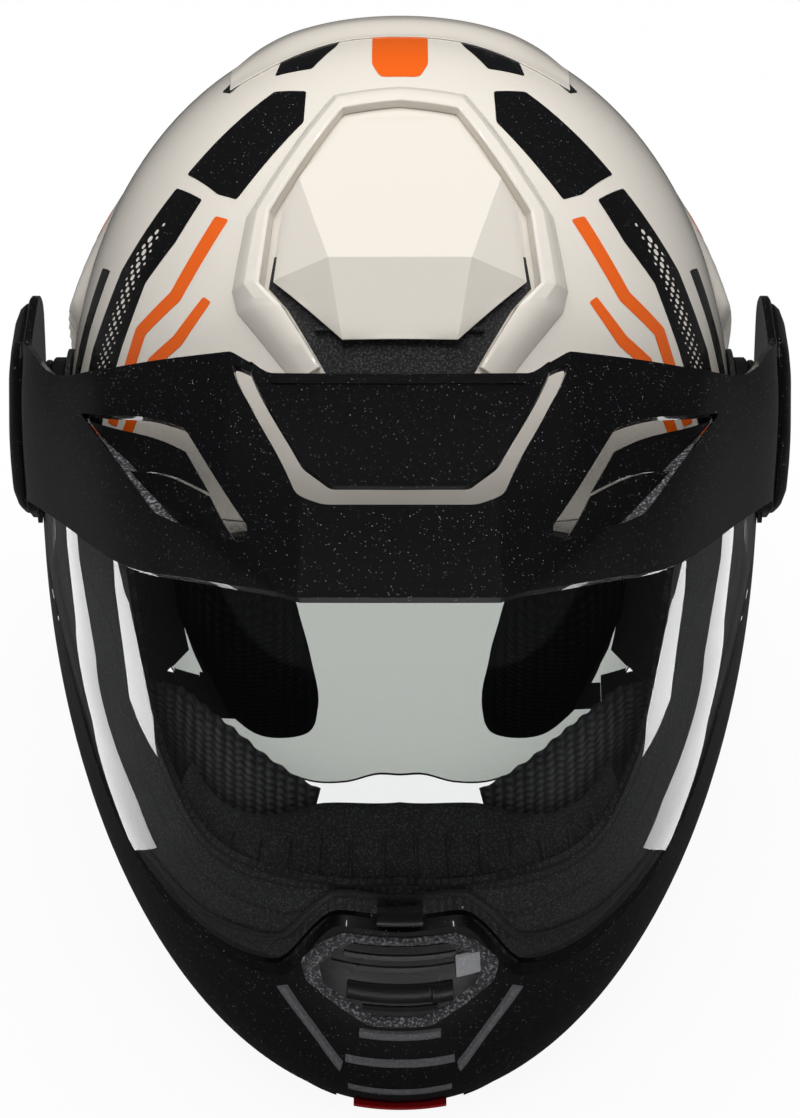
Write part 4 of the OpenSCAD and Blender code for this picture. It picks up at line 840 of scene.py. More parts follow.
def fill(outline, holes=(), step=2.0, lines=()):
    """Points and triangles of a flat outline with holes; creases are put along the lines."""
    loops = [split_line(loop, step) for loop in (outline, *holes)]
    creases = [split_line(line, step, closed=False) for line in lines]
    low, high = loops[0].min(0), loops[0].max(0)
    gx, gy = np.meshgrid(np.arange(low[0] + step / 2, high[0], step),
                         np.arange(low[1] + step / 2, high[1], step * 0.87))
    gx[1::2] += step / 2
    grid = np.stack([gx.ravel(), gy.ravel()], 1)
    keep = inside(grid, loops[0])
    for hole in loops[1:]:
        keep &= ~inside(grid, hole)
    grid = grid[keep]
    rim = np.concatenate(loops + creases)
    near = np.full(len(grid), np.inf)
    for chunk in np.array_split(rim, max(1, len(rim) // 200)):
        near = np.minimum(near, np.linalg.norm(grid[:, None] - chunk[None], axis=2).min(1))
    grid = grid[near > 0.55 * step]
    edges, start = [], 0
    for loop in loops:
        edges += [(start + k, start + (k + 1) % len(loop)) for k in range(len(loop))]
        start += len(loop)
    for line in creases:
        edges += [(start + k, start + k + 1) for k in range(len(line) - 1)]
        start += len(line)
    points = np.concatenate([rim, grid])
    flat, _, faces, _, _, _ = delaunay_2d_cdt([Vector(p) for p in points], edges, [], 1, 1e-5)
    flat = np.array([tuple(p) for p in flat])
    faces = np.array([tuple(f) for f in faces])
    mid = flat[faces].mean(1)
    keep = inside(mid, loops[0])
    for hole in loops[1:]:
        keep &= ~inside(mid, hole)
    return flat, faces[keep]


def plate(faces, top, base):
    """Closed solid from one set of triangles put on two surfaces."""
    n = len(top)
    faces = [tuple(int(v) for v in f) for f in faces]
    used = {}
    for f in faces:
        for a, b in zip(f, f[1:] + f[:1]):
            used[(a, b)] = True
    walls = [(a, n + a, n + b, b) for a, b in used if (b, a) not in used]
    points = np.concatenate([top, base])
    solid = faces + [tuple(n + v for v in reversed(f)) for f in faces] + [tuple(w) for w in walls]
    if volume(points, solid) < 0:
        solid = [tuple(reversed(f)) for f in solid]
    return points, solid


def wrapped(outline, distance_at, height=0.14, base=0.02, step=2.0, holes=()):
    """Flat pattern in pitch and lateral degrees, laid on a skin as a thin closed sheet."""
    flat, faces = fill(outline, holes, step)
    return plate(faces, on_skin(distance_at, flat[:, 0], flat[:, 1], height),
                 on_skin(distance_at, flat[:, 0], flat[:, 1], base))


# %% [markdown]
# ## The peak
# The peak is drawn like a car's wing: a few cross sections, each a row of points, with smooth curves
# between them and two real creases. A point on it has a column number, from the middle to the hinge,
# and a row number, from the front edge to the rear one. The creases are rolled over a millimetre or
# so, and that narrow roll is what catches the lamp as a bright line.

# %% Peak surface
PEAK_REACH, PEAK_RISE, PEAK_T = 224.0, 126.0, 3.0
ARM_X, REAR_Y = POD_X + POD_T, 35 - BROW_R
peak_table = [
    [[0, 2, 1], [0, 1.754, 1.012], [0, 1.404, 1.016], [0, 1.061, 1]],
    [[0.232, 2, 1], [0.225, 1.754, 1.012], [0.232, 1.404, 1.016], [0.315, 1.053, 0.996]],
    [[0.285, 1.956, 0.984], [0.367, 1.64, 0.94], [0.419, 1.272, 0.96], [0.412, 0.918, 0.972]],
    [[0.479, 1.649, 0.774], [0.554, 1.368, 0.833], [0.599, 1.061, 0.853], [0.592, 0.795, 0.857]],
    [[0.674, 1.325, 0.56], [0.712, 1.14, 0.671], [0.749, 0.891, 0.722], [0.749, 0.673, 0.738]],
    [[0.861, 0.818, 0.306], [0.876, 0.718, 0.429], [0.888, 0.6, 0.524], [0.884, 0.473, 0.579]],
    [[0.97, 0.473, 0.119], [0.981, 0.391, 0.262], [0.981, 0.309, 0.397], [0.966, 0.227, 0.492]],
    [[1, 0.273, -0.024], [1, 0.209, 0.143], [1, 0.127, 0.286], [1, 0.055, 0.397]],
    [[1, 0.145, -0.048], [1, 0.109, 0.063], [1, 0.036, 0.175], [1, -0.018, 0.27]]]


def fore(s):
    return REAR_Y * s if s <= 1 else REAR_Y - (PEAK_REACH + REAR_Y) * (s - 1)


peak_columns = np.array([[[ARM_X * x, fore(s), PEAK_RISE * z] for x, s, z in column]
                         for column in peak_table])


def peak_raw(u, v):
    """Peak's outside at column u, negative on the left, and row v."""
    side = np.where(np.asarray(u) < 0, -1.0, 1.0)
    u = np.clip(np.abs(u), 0, 8)
    rows = spline(np.transpose(peak_columns, (1, 0, 2)), np.clip(v, 0, 3))
    pick = np.arange(len(u))
    i = np.clip(np.floor(u).astype(int), 0, 1)
    flat = rows[pick, i] + (rows[pick, i + 1] - rows[pick, i]) * (u - i)[:, None]
    j = np.clip(np.floor(u).astype(int), 2, 7)
    s = (u - j)[:, None]
    before, after = rows[pick, np.maximum(j - 1, 2)], rows[pick, np.minimum(j + 2, 8)]
    p, q = rows[pick, j], rows[pick, j + 1]
    m = np.where((j == 2)[:, None], q - p, (q - before) / 2)
    n = np.where((j == 7)[:, None], q - p, (after - p) / 2)
    smooth = ((2 * s**3 - 3 * s**2 + 1) * p + (s**3 - 2 * s**2 + s) * m + (-2 * s**3 + 3 * s**2) * q
              + (s**3 - s**2) * n)
    out = np.where((u < 2)[:, None], flat, smooth)
    out[:, 0] *= side
    return out


def peak_at(u, v, depth=0.0):
    """Peak's outside with its creases rolled over, or a surface at a depth below it."""
    u, v = np.asarray(u, float), np.asarray(v, float)
    roll = [(-0.05, 1), (-0.025, 2), (0, 3), (0.025, 2), (0.05, 1)]
    p = sum(w * peak_raw(u + d, v) for d, w in roll) / 9
    end = np.abs(u) > 7.9
    p[end] = peak_raw(u, v)[end]
    down = p * [1, 0.12, 1]
    return p - down / np.linalg.norm(down, axis=1)[:, None] * np.broadcast_to(depth, u.shape)[:, None]


# %% Peak with its openings
UNIT_U, UNIT_V = 28.0, 30.0
scoop_opening = [(4.33, 2.12), (2.55, 1.95), (1.9, 1.02), (2.06, 0.76), (2.37, 0.7), (3.03, 0.66),
                 (3.3, 0.74), (3.68, 1.32)]
middle_opening = [(0.80, 1.34), (1.12, 1.46), (1.62, 2.43), (1.96, 2.84), (1.78, 2.86), (1.40, 2.86),
                  (1.02, 2.86)]
scale = np.array([UNIT_U, UNIT_V])
right_scoop = rounded(np.array(scoop_opening) * scale, 2.0, 3)
half = np.array(middle_opening)
window = rounded(np.concatenate([half, (half * [-1, 1])[::-1]]) * scale, 2.0, 3)
outline = np.array([(-8, 0), (8, 0), (8, 3), (-8, 3)]) * scale
crease_lines = [np.array([(k * c, 0), (k * c, 1.0 if abs(c) < 1.5 else 0.6)]) * scale for k in (-1, 1)
                for c in (0.96, 1.0, 1.04)]
crease_lines += [np.array([(k * c, 0.0), (k * c, 0.62)]) * scale for k in (-1, 1) for c in (1.96, 2.0, 2.04)]
crease_lines += [np.array([(k * c, 2.06), (k * c, 2.95)]) * scale for k in (-1, 1) for c in (2.0, 2.04)]
flat, faces = fill(outline, [window, right_scoop, right_scoop * [-1, 1]], 2.4, crease_lines)
u, v = flat[:, 0] / UNIT_U, flat[:, 1] / UNIT_V
sheet = plate(faces, peak_at(u, v), peak_at(u, v, PEAK_T))
pod_outline = np.array([(-34, -4), (-14, -26), (10, -24), (36, 6), (42, 30), (30, 44), (-6, 50),
                        (-30, 20)], float)


def side_plate(outline, levels, x0, step=3.0):
    """Plate in the plane of the hinge, domed by levels of (inset share, distance outwards)."""
    mid = (outline.max(0) + outline.min(0)) / 2
    loop = split_line(outline, step)
    grid, base = [], []
    for share, x in levels:
        p = mid + (loop - mid) * share
        grid.append(np.stack([np.full(len(p), x0 + x), p[:, 0], p[:, 1]], 1))
        base.append(np.stack([np.full(len(p), x0), p[:, 0], p[:, 1]], 1))
    return dish((x0 + levels[0][1], *mid), np.array(grid), (x0, *mid), np.array(base))


def outward(shape):
    points, faces = shape
    return shape if volume(points, faces) > 0 else (points, [tuple(reversed(f)) for f in faces])


pod_levels = [(0.4, POD_T), (0.97, POD_T), (1.0, POD_T - 0.8)]
pods = pair(outward(side_plate(rounded(pod_outline, 7.0), pod_levels, POD_X)))
piece("peak_wing", joined(sheet, pods), black_lacquer, "chin_bar", replaces=["peak"],
      sharp=38, rounding=0.45)

# %% Tongue in the middle opening
tongue = [(-1.5, 3.0), (1.5, 3.0), (1.53, 2.84), (1.02, 1.9), (0.73, 1.66), (0, 1.65), (-0.73, 1.66),
          (-1.02, 1.9), (-1.53, 2.84)]
flat, faces = fill(rounded(np.array(tongue) * scale, 1.5, 3), (), 2.4)
u, v = flat[:, 0] / UNIT_U, flat[:, 1] / UNIT_V
sink = 0.4 + 3.4 * ramp(3.0 - v, 0.1, 1.4)
level = peak_at(u, v)
level[:, 2] = peak_at(0 * u, v)[:, 2] - 0.6 * (np.abs(level[:, 0]) / 40) ** 2
tongue_top = level - np.stack([0 * u, 0 * u, sink], 1)
tongue_shape = plate(faces, tongue_top, tongue_top - [0, 0, 1.8])
rib_path = ((0, -160, 126), (0.5, -140, 127.5), (1, -122, 127))
rib = []
for x in (-17.0, 0.0, 17.0):
    rib.append(sweep([[(x - 1, y, z - 3.6), (x - 1, y, z - 9 + 5 * k), (x + 1, y, z - 9 + 5 * k),
                       (x + 1, y, z - 3.6)] for k, y, z in rib_path]))
piece("peak_tongue", joined(tongue_shape, *[outward(r) for r in rib]), black_lacquer,
      "chin_bar", replaces=["peak_air_guide"], sharp=38, rounding=0.4)


# %% Scoops with two blades each
def peak_panel(corners, depths, thickness=1.2, step=2.4, bow=0.0):
    """Panel below the peak: corners in columns and rows, each with a depth that is blended across."""
    corners = np.array(corners, float) * scale
    flat, faces = fill(corners, (), step)
    weight = 1 / (np.linalg.norm(flat[:, None] - corners[None], axis=2) ** 2 + 1e-6)
    depth = (weight * np.array(depths)).sum(1) / weight.sum(1) + bow
    u, v = flat[:, 0] / UNIT_U, flat[:, 1] / UNIT_V
    return plate(faces, peak_at(u, v, depth), peak_at(u, v, depth + thickness))


blade_one = peak_panel([(4.22, 2.0), (2.67, 1.72), (2.45, 1.33), (3.62, 1.34)], [1.0, 4.6, 5.4, 4.2])
blade_two = peak_panel([(3.68, 1.32), (2.47, 1.30), (2.24, 0.82), (2.40, 0.72), (3.02, 0.70)],
                       [2.4, 6.4, 5.0, 3.4, 3.6])
piece("peak_scoop_blades", pair(joined(blade_one, blade_two)), black_lacquer, "chin_bar",
      replaces=["peak_louvres"], sharp=38, rounding=0.35)
wall_low = [(4.33, 2.10), (3.68, 1.32), (3.30, 0.74), (3.03, 0.66), (2.37, 0.70)]
wall_in = [(4.20, 2.00), (3.46, 1.32), (3.12, 0.86), (2.92, 0.76), (2.40, 0.78)]
rim_line = split_line(np.array(wall_low) * scale, 2.0, closed=False) / scale
foot_share = np.linspace(0, 1, len(rim_line))
foot_line = spline(wall_in, foot_share * (len(wall_in) - 1))
top_line = spline(wall_low, foot_share * (len(wall_low) - 1))
upper = peak_at(top_line[:, 0] + 0.02, top_line[:, 1], 0.5)
lower = peak_at(foot_line[:, 0], foot_line[:, 1], 5.2)
thick = np.array([0.5, 0.0, -1.2])
grid_out = np.stack([upper, (upper + lower) / 2 - [0, 0, 0.4], lower])
wall = outward(skin(grid_out, grid_out + thick))
piece("peak_scoop_walls", pair(wall), speckled_grey, "chin_bar", sharp=38)

# %% Side covers and their screws
cover_levels = [(0.3, COVER_T), (0.62, COVER_T - 0.15), (0.84, COVER_T - 1.2), (0.95, 3.2), (1.0, 1.2)]
cover = outward(side_plate(rounded(pod_outline * 0.95, 8.0), cover_levels, POD_X + POD_T + 0.05))
piece("side_covers", pair(cover), black_lacquer, "chin_bar",
      replaces=["peak_side_covers"], sharp=30, rounding=0.5)


def turned(profile, steps=48, at=(0.0, 0.0)):
    """Ring turned about the hinge axis from a closed profile of (distance sideways, radius)."""
    t = np.radians(np.arange(steps) * 360 / steps)
    return outward(sweep([[(x, at[0] + r * np.cos(a), at[1] + r * np.sin(a)) for x, r in profile]
                          for a in t], closed=True))


screw_x = POD_X + POD_T + COVER_T
hub_cap = turned([(screw_x - 2.6, 0.4), (screw_x - 2.6, 8.6), (screw_x - 0.6, 8.6), (screw_x + 0.02, 7.9),
                  (screw_x + 0.02, 7.0), (screw_x - 0.8, 6.4), (screw_x - 0.8, 2.6), (screw_x - 1.8, 2.2),
                  (screw_x - 1.8, 0.4)])
shank = turned([(POD_X - 2.4, 0.4), (POD_X - 2.4, 2.4), (screw_x - 2.0, 2.4), (screw_x - 2.0, 0.4)], 24)
piece("side_cover_screws", pair(joined(hub_cap, shank)), steel, "chin_bar",
      replaces=["peak_screws"], sharp=30)

# %% [markdown]
# ## Crown vent
# The vent on the crown has a raised border that is open in front, a faceted cover that slides back, and
# a dark intake below it. Border and cover are drawn by their outline corners in pitch and lateral
# degrees, and by a height over the shell at each corner. The cover's facets are flat planes through
# three corners each, and the lowest plane wins, as if the facets were cut from a block.


# %% Vent border
def on_both(loop):
    loop = np.asarray(loop, float)
    return np.concatenate([loop, (loop * ([1, -1] if loop.shape[1] == 2 else [1, -1, 1]))[::-1]])


border_in = [(49.6, 10.4), (58.2, 15.4), (61.6, 18.3), (72.4, 17.0), (88.6, 7.4)]
border_out = [(47.4, 14.0), (58.6, 22.4), (62.0, 23.2), (73.6, 21.0), (93.2, 8.8)]
border_top = [2.4, 5.2, 5.6, 4.6, 3.6]


def border_ring(t):
    """Section of the border at share t of the way round, from the right leg over the back to the left leg."""
    side = 1 if t <= 0.5 else -1
    s = min(t, 1 - t) * 2 * (len(border_in) - 0.5)
    middle = s > len(border_in) - 1
    if middle:
        r = (s - (len(border_in) - 1)) / 0.5
        a_in, a_out = np.array(border_in[-1]), np.array(border_out[-1])
        a_in = np.array([a_in[0] + 0.9 * r, a_in[1] * (1 - r)])
        a_out = np.array([a_out[0] + 0.8 * r, a_out[1] * (1 - r)])
        h = border_top[-1]
    else:
        i = min(int(s), len(border_in) - 2)
        r = s - i
        a_in = np.array(border_in[i]) * (1 - r) + np.array(border_in[i + 1]) * r
        a_out = np.array(border_out[i]) * (1 - r) + np.array(border_out[i + 1]) * r
        h = border_top[i] * (1 - r) + border_top[i + 1] * r
    ring = []
    for share, height in ((1.0, 0.1), (0.86, 0.35 * h), (0.62, 0.78 * h), (0.42, h), (0.10, h),
                          (0.0, h - 0.5), (-0.02, 0.1)):
        p = a_in + (a_out - a_in) * share
        ring.append(on_skin(shell_at, p[0], side * p[1], height))
    return ring


border = outward(sweep([border_ring(t) for t in np.linspace(0, 1, 181)]))
piece("vent_border", border, cream_vent, "shell", replaces=["top_vent_base"], sharp=24,
      rounding=0.35)

# %% Vent cover
cover_rim = [(53, 7.4), (61.8, 16.6), (72, 15.2), (85.8, 6.7)]


def plane_through(*corners):
    """Flat plane through three corners on the shell, given as (pitch, lateral, height)."""
    p = [on_skin(shell_at, a, b, h) for a, b, h in corners]
    n = np.cross(p[1] - p[0], p[2] - p[0])
    return n / np.dot(n, p[0])


top_corner, left_corner = (63.2, 8.8, 9.6), (63.2, -8.8, 9.6)
nose_corner, side_corner = (53, 7.4, 4.2), (61.8, 16.6, 3.6)
planes = [plane_through(top_corner, left_corner, (86.3, 6.9, 5.6)),
          plane_through(top_corner, left_corner, nose_corner),
          plane_through(top_corner, nose_corner, side_corner),
          plane_through(top_corner, side_corner, (72, 15.2, 4.4))]
along = np.cross(planes[0], planes[3])
along *= np.sign(along[0]) / np.linalg.norm(along)
ridge = on_skin(shell_at, *top_corner) + along * np.linspace(0, 40, 81)[:, None]
ridge = np.stack([pitch(ridge), np.degrees(np.arcsin(ridge[:, 0] / np.linalg.norm(ridge, axis=1)))], 1)
ridge = ridge[inside(ridge, split_line(on_both(cover_rim), 0.8))]
creases = [[top_corner[:2], (53.2, 7.4)], [top_corner[:2], (61.9, 16.4)],
           [tuple(p) for p in ridge[[0, len(ridge) // 2, -1]]]]
creases += [[(p, -q) for p, q in line] for line in creases]
flat, faces = fill(on_both(cover_rim), (), 0.8, [[left_corner[:2], top_corner[:2]]] + creases)
d = direction(flat[:, 0], np.abs(flat[:, 1]))
height = np.min([1 / (d @ n) for n in planes], 0) - shell_at(d)
print("vent cover rises to", round(float(height.max()), 1), "mm, and is", round(float(height.min()), 1),
      "mm at its lowest")
edge = split_line(on_both(cover_rim), 0.4)
rim_gap = np.linalg.norm(flat[:, None] - edge[None], axis=2).min(1)
height = np.maximum(height - 0.5 * (1 - ramp(rim_gap, 0.0, 0.8)), 3.0)
cover_shape = plate(faces, on_skin(shell_at, flat[:, 0], flat[:, 1], height),
                    on_skin(shell_at, flat[:, 0], flat[:, 1], 2.55))
piece("vent_slide_cover", cover_shape, cream_vent, "top_vent_cover",
      replaces=["top_vent_cover"], sharp=16, rounding=0.3)


# %% Intake below the cover
def raised_strip(distance_at, rows, columns, base):
    """Closed strip on a skin, with rows of (pitch, height) over one base height."""
    top = np.stack([on_skin(distance_at, a, columns, h) for a, h in rows])
    under = np.stack([on_skin(distance_at, a, columns, base) for a, h in rows])
    return outward(skin(top, under))


floor_outline = on_both([(48.6, 9.6), (57.8, 14.8), (61.4, 17.6), (66, 16.8)])
floor_shape = wrapped(floor_outline, shell_at, 0.3, 0.05, 2.0)
strip_b = np.linspace(-11, 11, 23)
blades = [raised_strip(shell_at, [(a, 2.1), (a + 0.5, 2.3)], strip_b, 0.2) for a in (54.5, 58.0, 61.5)]
piece("vent_intake", joined(floor_shape, *blades), grained_black, "shell", sharp=30)

# %% [markdown]
# ## Panels and stripes
# The pattern is a generic one in the usual colours of touring helmets: cream ground, black bands
# that run from the crown to the sides, and orange stripes. Each panel is drawn on the right side as a
# flat outline, wrapped onto the shell with a tenth of a millimetre of thickness, then mirrored.


# %% Outlines of the panels
def stripe(path, widths):
    """Outline of a band with straight runs and mitred corners, of a width at each path point."""
    p = np.asarray(path, float)
    run = np.diff(p, axis=0)
    run /= np.linalg.norm(run, axis=1)[:, None]
    side = np.stack([run[:, 1], -run[:, 0]], 1)
    mitre = (side[1:] + side[:-1]) / (1 + (side[1:] * side[:-1]).sum(1))[:, None]
    corner = np.concatenate([side[:1], mitre, side[-1:]])
    w = np.asarray(widths, float)[:, None] / 2
    return np.concatenate([p + corner * w, (p - corner * w)[::-1]])


black_shapes = [
    [(95.5, 12.5), (98, 17), (88.5, 31), (80.0, 25.5), (77.5, 22.5), (88.6, 12.8)],
    [(87.0, 33), (80.6, 28.2), (75, 33), (70.5, 39.5), (60, 45.5), (49, 50.5), (38, 54), (38, 63),
     (52, 62), (66, 56.5), (79, 46)],
    [(118, 6.2), (108, 8.6), (101.5, 11.8), (103, 17), (108, 16.2), (118, 11.6)],
    [(116.5, 14.5), (108.6, 18.8), (105, 24.0), (108, 25.4), (115, 19.4)],
    [(84, 50), (75, 58), (64, 64.5), (50, 67.5), (36, 67), (36, 75), (52, 76), (68, 72), (80, 64), (90, 53)],
]
orange_shapes = [
    stripe([(75.2, 24.8), (64.5, 33.0), (61.0, 40.5), (43.5, 48.5)], [2.7, 2.9, 3.1, 3.2]),
    stripe([(62.0, 27.2), (56.5, 32.6), (54.0, 37.6), (39.5, 45.0)], [1.8, 2.5, 2.6, 2.7]),
]
crown_orange = on_both([(96.5, 2.6), (100, 3.7), (113.5, 3.7), (116, 3.2)])
rear_black = [(182, 21), (164, 29), (150, 42), (141, 54), (134, 52), (141, 38), (152, 26), (170, 14),
              (182, 12)]
rear_orange = stripe([(184, 26), (170, 32), (157, 43), (150, 54)], [2.2, 2.4, 2.6, 2.8])
side_black = [(-30, 56), (-8, 57.5), (6, 60), (14, 63), (4, 66), (-16, 64), (-40, 62), (-52, 58), (-46, 54)]
side_orange = stripe([(20, 60), (8, 63.5), (-6, 66.5), (-20, 68)], [2.0, 2.6, 2.8, 2.4])


# %% Panels on the shell
def panels(name, shapes, finish, distance_at, body, rounding=1.2, both=True):
    parts = []
    for shape in shapes:
        sheet = wrapped(rounded(shape, rounding, 2), distance_at)
        parts += [sheet, mirrored(sheet)] if both else [sheet]
    return piece(name, joined(*parts), finish, body, sharp=50)


panels("black_bands", black_shapes + [rear_black, side_black], black_panel, shell_at, "shell", 0.4)
panels("orange_stripes", orange_shapes + [rear_orange, side_orange], orange_panel, shell_at, "shell", 0.35)
panels("crown_panel", [crown_orange], orange_panel, shell_at, "shell", 0.8, both=False)
dots = []
for row in range(5):
    for k in range(15):
        t = k / 14
        a = 80.5 - 26 * t - 0.4 * row
        b = 35.5 + 15.5 * t + 1.5 * row + 1.5 * math.sin(3.1 * t)
        r = (0.62 - 0.42 * abs(row - 2) / 2.6) * (1 - 0.35 * t)
        ring = [(a + r * math.cos(q), b + r * math.sin(q)) for q in np.radians(range(0, 360, 45))]
        if r > 0.2:
            d = np.array(ring)
            top = on_skin(shell_at, d[:, 0], d[:, 1], 0.22)
            low = on_skin(shell_at, d[:, 0], d[:, 1], 0.05)
            dots.append(outward(sweep([top, low])))
piece("halftone_dots", pair(joined(*dots)), cream_paint, "shell", sharp=50)

# %% [markdown]
# ## Rear of the shell
# The spoiler fades out of the shell at both ends and is thickest at its rear edge, so that the air
# lets go there. The exhaust vent below it has a frame and three louvres.

# %% Spoiler and exhaust vent
b = strip(24.0, 120)
front = 110 - 4 * ramp(np.abs(b), 6, 24)
rear = 123 + 1.5 * ramp(np.abs(b), 4, 18) - 7 * ramp(np.abs(b), 19, 24)
tall = 2.7 * (1 - 0.6 * ramp(np.abs(b), 14, 24))
shares = np.linspace(0, 1, 20)
lift = 0.16 + 0.84 * ramp(shares, 0.0, 0.6)
lift[-1] = 0.8
top = np.stack([on_skin(shell_at, front + (rear - front) * s, b, np.maximum(tall * k, 0.5))
                for s, k in zip(shares, lift)])
low = np.stack([on_skin(shell_at, front + (rear - front) * s, b, 0.05) for s in shares])
piece("rear_spoiler_wing", outward(skin(top, low)), cream_vent, "shell",
      replaces=["rear_spoiler"], sharp=30, rounding=0.5)
exhaust_outline = on_both([(160, 9), (150, 16), (141, 12)])


def frame_ring(outline, distance_at, profile, size=1.0, step=1.5, steps=3):
    """Frame on a skin: a section of (share towards the middle, height), swept round an outline."""
    mid = (np.max(outline, 0) + np.min(outline, 0)) / 2
    loop = split_line(rounded(outline, size, steps), step)
    rings = [[on_skin(distance_at, *(mid + (p - mid) * k), h) for k, h in profile] for p in loop]
    return outward(sweep(rings, closed=True))


exhaust_section = [(1.0, 0.1), (0.97, 2.4), (0.92, 3.2), (0.78, 3.2), (0.72, 2.6), (0.70, 0.1)]
exhaust = frame_ring(exhaust_outline, shell_at, exhaust_section, 2.0)
louvre_section = ((-0.8, 0.1), (0.8, 0.1), (0.5, 2.0), (-0.5, 2.0))
louvres = [outward(sweep([[on_skin(shell_at, a, 4 * k - q, h) for q, h in louvre_section]
                          for a in np.linspace(144.2, 157, 14)])) for k in (-1, 0, 1)]
piece("exhaust_vent", joined(exhaust, *louvres), grained_black, "shell",
      replaces=["rear_exhaust_vent"], sharp=30, rounding=0.3)

# %% [markdown]
# ## Round the eyes
# Behind the shield lies a matt ledge with a rubber tube, against which the shield closes. The breath
# guard rises from the ledge in the middle, with a row of soft ribs on its outside.

# %% Ledge of the chin bar
b = strip(ARM_END, 200)
seam_b = curve(shield_low, np.abs(b)) - 1.6
top_b = np.maximum(curve(chin_top, np.abs(b)), curve(shield_low, np.abs(b)) + 1.4)
shares = np.concatenate([[0, 0.02], np.linspace(0.08, 0.94, 10), [0.985, 1.0]])
skin_h = np.full(len(shares), -RECESS)
skin_h[-1] -= 0.9
outer = np.stack([on_skin(face_at, seam_b + (top_b - seam_b) * s, b, h) for s, h in zip(shares, skin_h)])
inner = np.stack([on_skin(face_at, seam_b + (top_b - seam_b) * s, b, -RECESS - CHIN_T) for s in shares])
piece("chin_bar_ledge", outward(skin(outer, inner)), grained_black, "chin_bar", sharp=32)


# %% Rubber tube under the shield
def tube_on(path, radius, height, distance_at, corners=10, squash=1.0):
    """Round tube along a path of (pitch, lateral), with its middle at a height on a skin."""
    p = np.array([on_skin(distance_at, a, b, height) for a, b in path])
    along = np.gradient(p, axis=0)
    along /= np.linalg.norm(along, axis=1)[:, None]
    up = p / np.linalg.norm(p, axis=1)[:, None]
    side = np.cross(along, up)
    side /= np.linalg.norm(side, axis=1)[:, None]
    up = np.cross(side, along)
    t = np.radians(np.arange(corners) * 360 / corners)
    taper = np.ones(len(p))
    taper[0] = taper[-1] = 0.5
    rings = [[p[i] + radius * taper[i] * (side[i] * np.cos(q) + squash * up[i] * np.sin(q)) for q in t]
             for i in range(len(p))]
    return outward(sweep(rings))


tube_b = np.linspace(-62, 62, 230)
tube_lift = [0.5 * float(ramp(abs(x), 7, 10) * (1 - ramp(abs(x), 14, 20))) for x in tube_b]
tube_path = [(curve(shield_low, abs(x)) + 1.25 + h, x) for x, h in zip(tube_b, tube_lift)]
piece("shield_seal_tube", tube_on(tube_path, 1.5, -3.55, face_at, squash=0.62), seal_rubber, "chin_bar",
      replaces=["shield_gasket"], sharp=60)

# %% Breath guard
b = strip(25.0, 150)
guard_lift = [(0, 6.4), (8, 6.4), (13, 4.6), (20, 3), (25, 2)]
base_a = curve(chin_top, np.abs(b)) - 1.5
rise = curve(guard_lift, np.abs(b))
shares = np.array([0, 0.03, 0.2, 0.4, 0.55, 0.75, 0.95, 1.0])
out_h = -RECESS - CHIN_T - 0.3 - 6 * shares
outer = np.stack([on_skin(face_at, base_a + rise * s, b, h) for s, h in zip(shares, out_h)])
inner = np.stack([on_skin(face_at, base_a + rise * s, b, h - 2.3) for s, h in zip(shares, out_h)])
guard_parts = [outward(skin(outer, inner))]
for k in range(14):
    c = -21.0 + 42.0 * k / 13
    lift_c = float(curve(guard_lift, abs(c)))
    foot = float(curve(chin_top, abs(c))) - 1.2
    rib = [[on_skin(face_at, foot + lift_c * s, c + q, -RECESS - CHIN_T - 0.6 - 6 * s + h)
            for q, h in ((-0.22, 0), (0.22, 0), (0.1, 1.3), (-0.1, 1.3))]
           for s in np.linspace(0.02, 0.62, 6)]
    guard_parts.append(outward(sweep(rib)))
piece("breath_deflector", joined(*guard_parts), grained_black, "chin_bar",
      replaces=["breath_guard"], sharp=32)

# %% [markdown]
# ## Chin vent and release button
# The chin vent is a hexagon of speckled grey plastic round a dark louvred mouth, with the shutter's small
# tab at one side. Two creases run down from it to the button like the keel lines of a boat. They, the bar and
# the lip
# below the vent are grey: a painted highlight for the bright lines that the black lacquer shows there.

# %% Vent frame
vent_outline = np.array([(-11.2, 5.2), (-12.4, 7.0), (-14.6, 8.9), (-16.2, 8.3), (-18.9, 2.7)])
vent_loop = np.concatenate([vent_outline, (vent_outline * [1, -1])[::-1]])
vent_section = [(1.0, 0.05), (1.0, 0.9), (0.97, 1.5), (0.88, 1.3), (0.82, 0.5), (0.80, 0.05)]
vent_frame_shape = frame_ring(vent_loop, face_at, vent_section, 0.4, 1.0)
piece("chin_vent_surround", vent_frame_shape, speckled_grey, "chin_bar",
      replaces=["chin_vent_frame"], sharp=26, rounding=0.2)
mouth = np.array([(-12.0, 4.6), (-13.0, 6.0), (-14.6, 7.4), (-15.9, 7.0), (-18.1, 2.3)])
mouth_loop = np.concatenate([mouth, (mouth * [1, -1])[::-1]])
mouth_parts = [wrapped(mouth_loop, face_at, 0.25, 0.02, 0.8)]
for a, half_b in ((-12.7, 5.0), (-13.7, 6.1), (-17.1, 3.2)):
    bar_b = np.linspace(-half_b, half_b, 31)
    mouth_parts.append(raised_strip(face_at, [(a, 0.9), (a - 0.45, 0.7)], bar_b, 0.1))
piece("chin_vent_mouth", joined(*mouth_parts), smooth_black, "chin_bar",
      sharp=30, rounding=0.15)
slider_b = np.linspace(-4.6, 4.6, 33)
raised = np.where(slider_b > 2.76, 2.5, 1.7)
slider_rows = [(-16.7, raised - 0.5), (-16.45, raised), (-15.9, raised), (-15.4, raised - 0.1),
               (-15.2, raised - 0.6)]
piece("chin_vent_slider", raised_strip(face_at, slider_rows, slider_b, 0.35), smooth_black,
      "chin_vent_shutter", replaces=["chin_vent_shutter"], sharp=30, rounding=0.25)
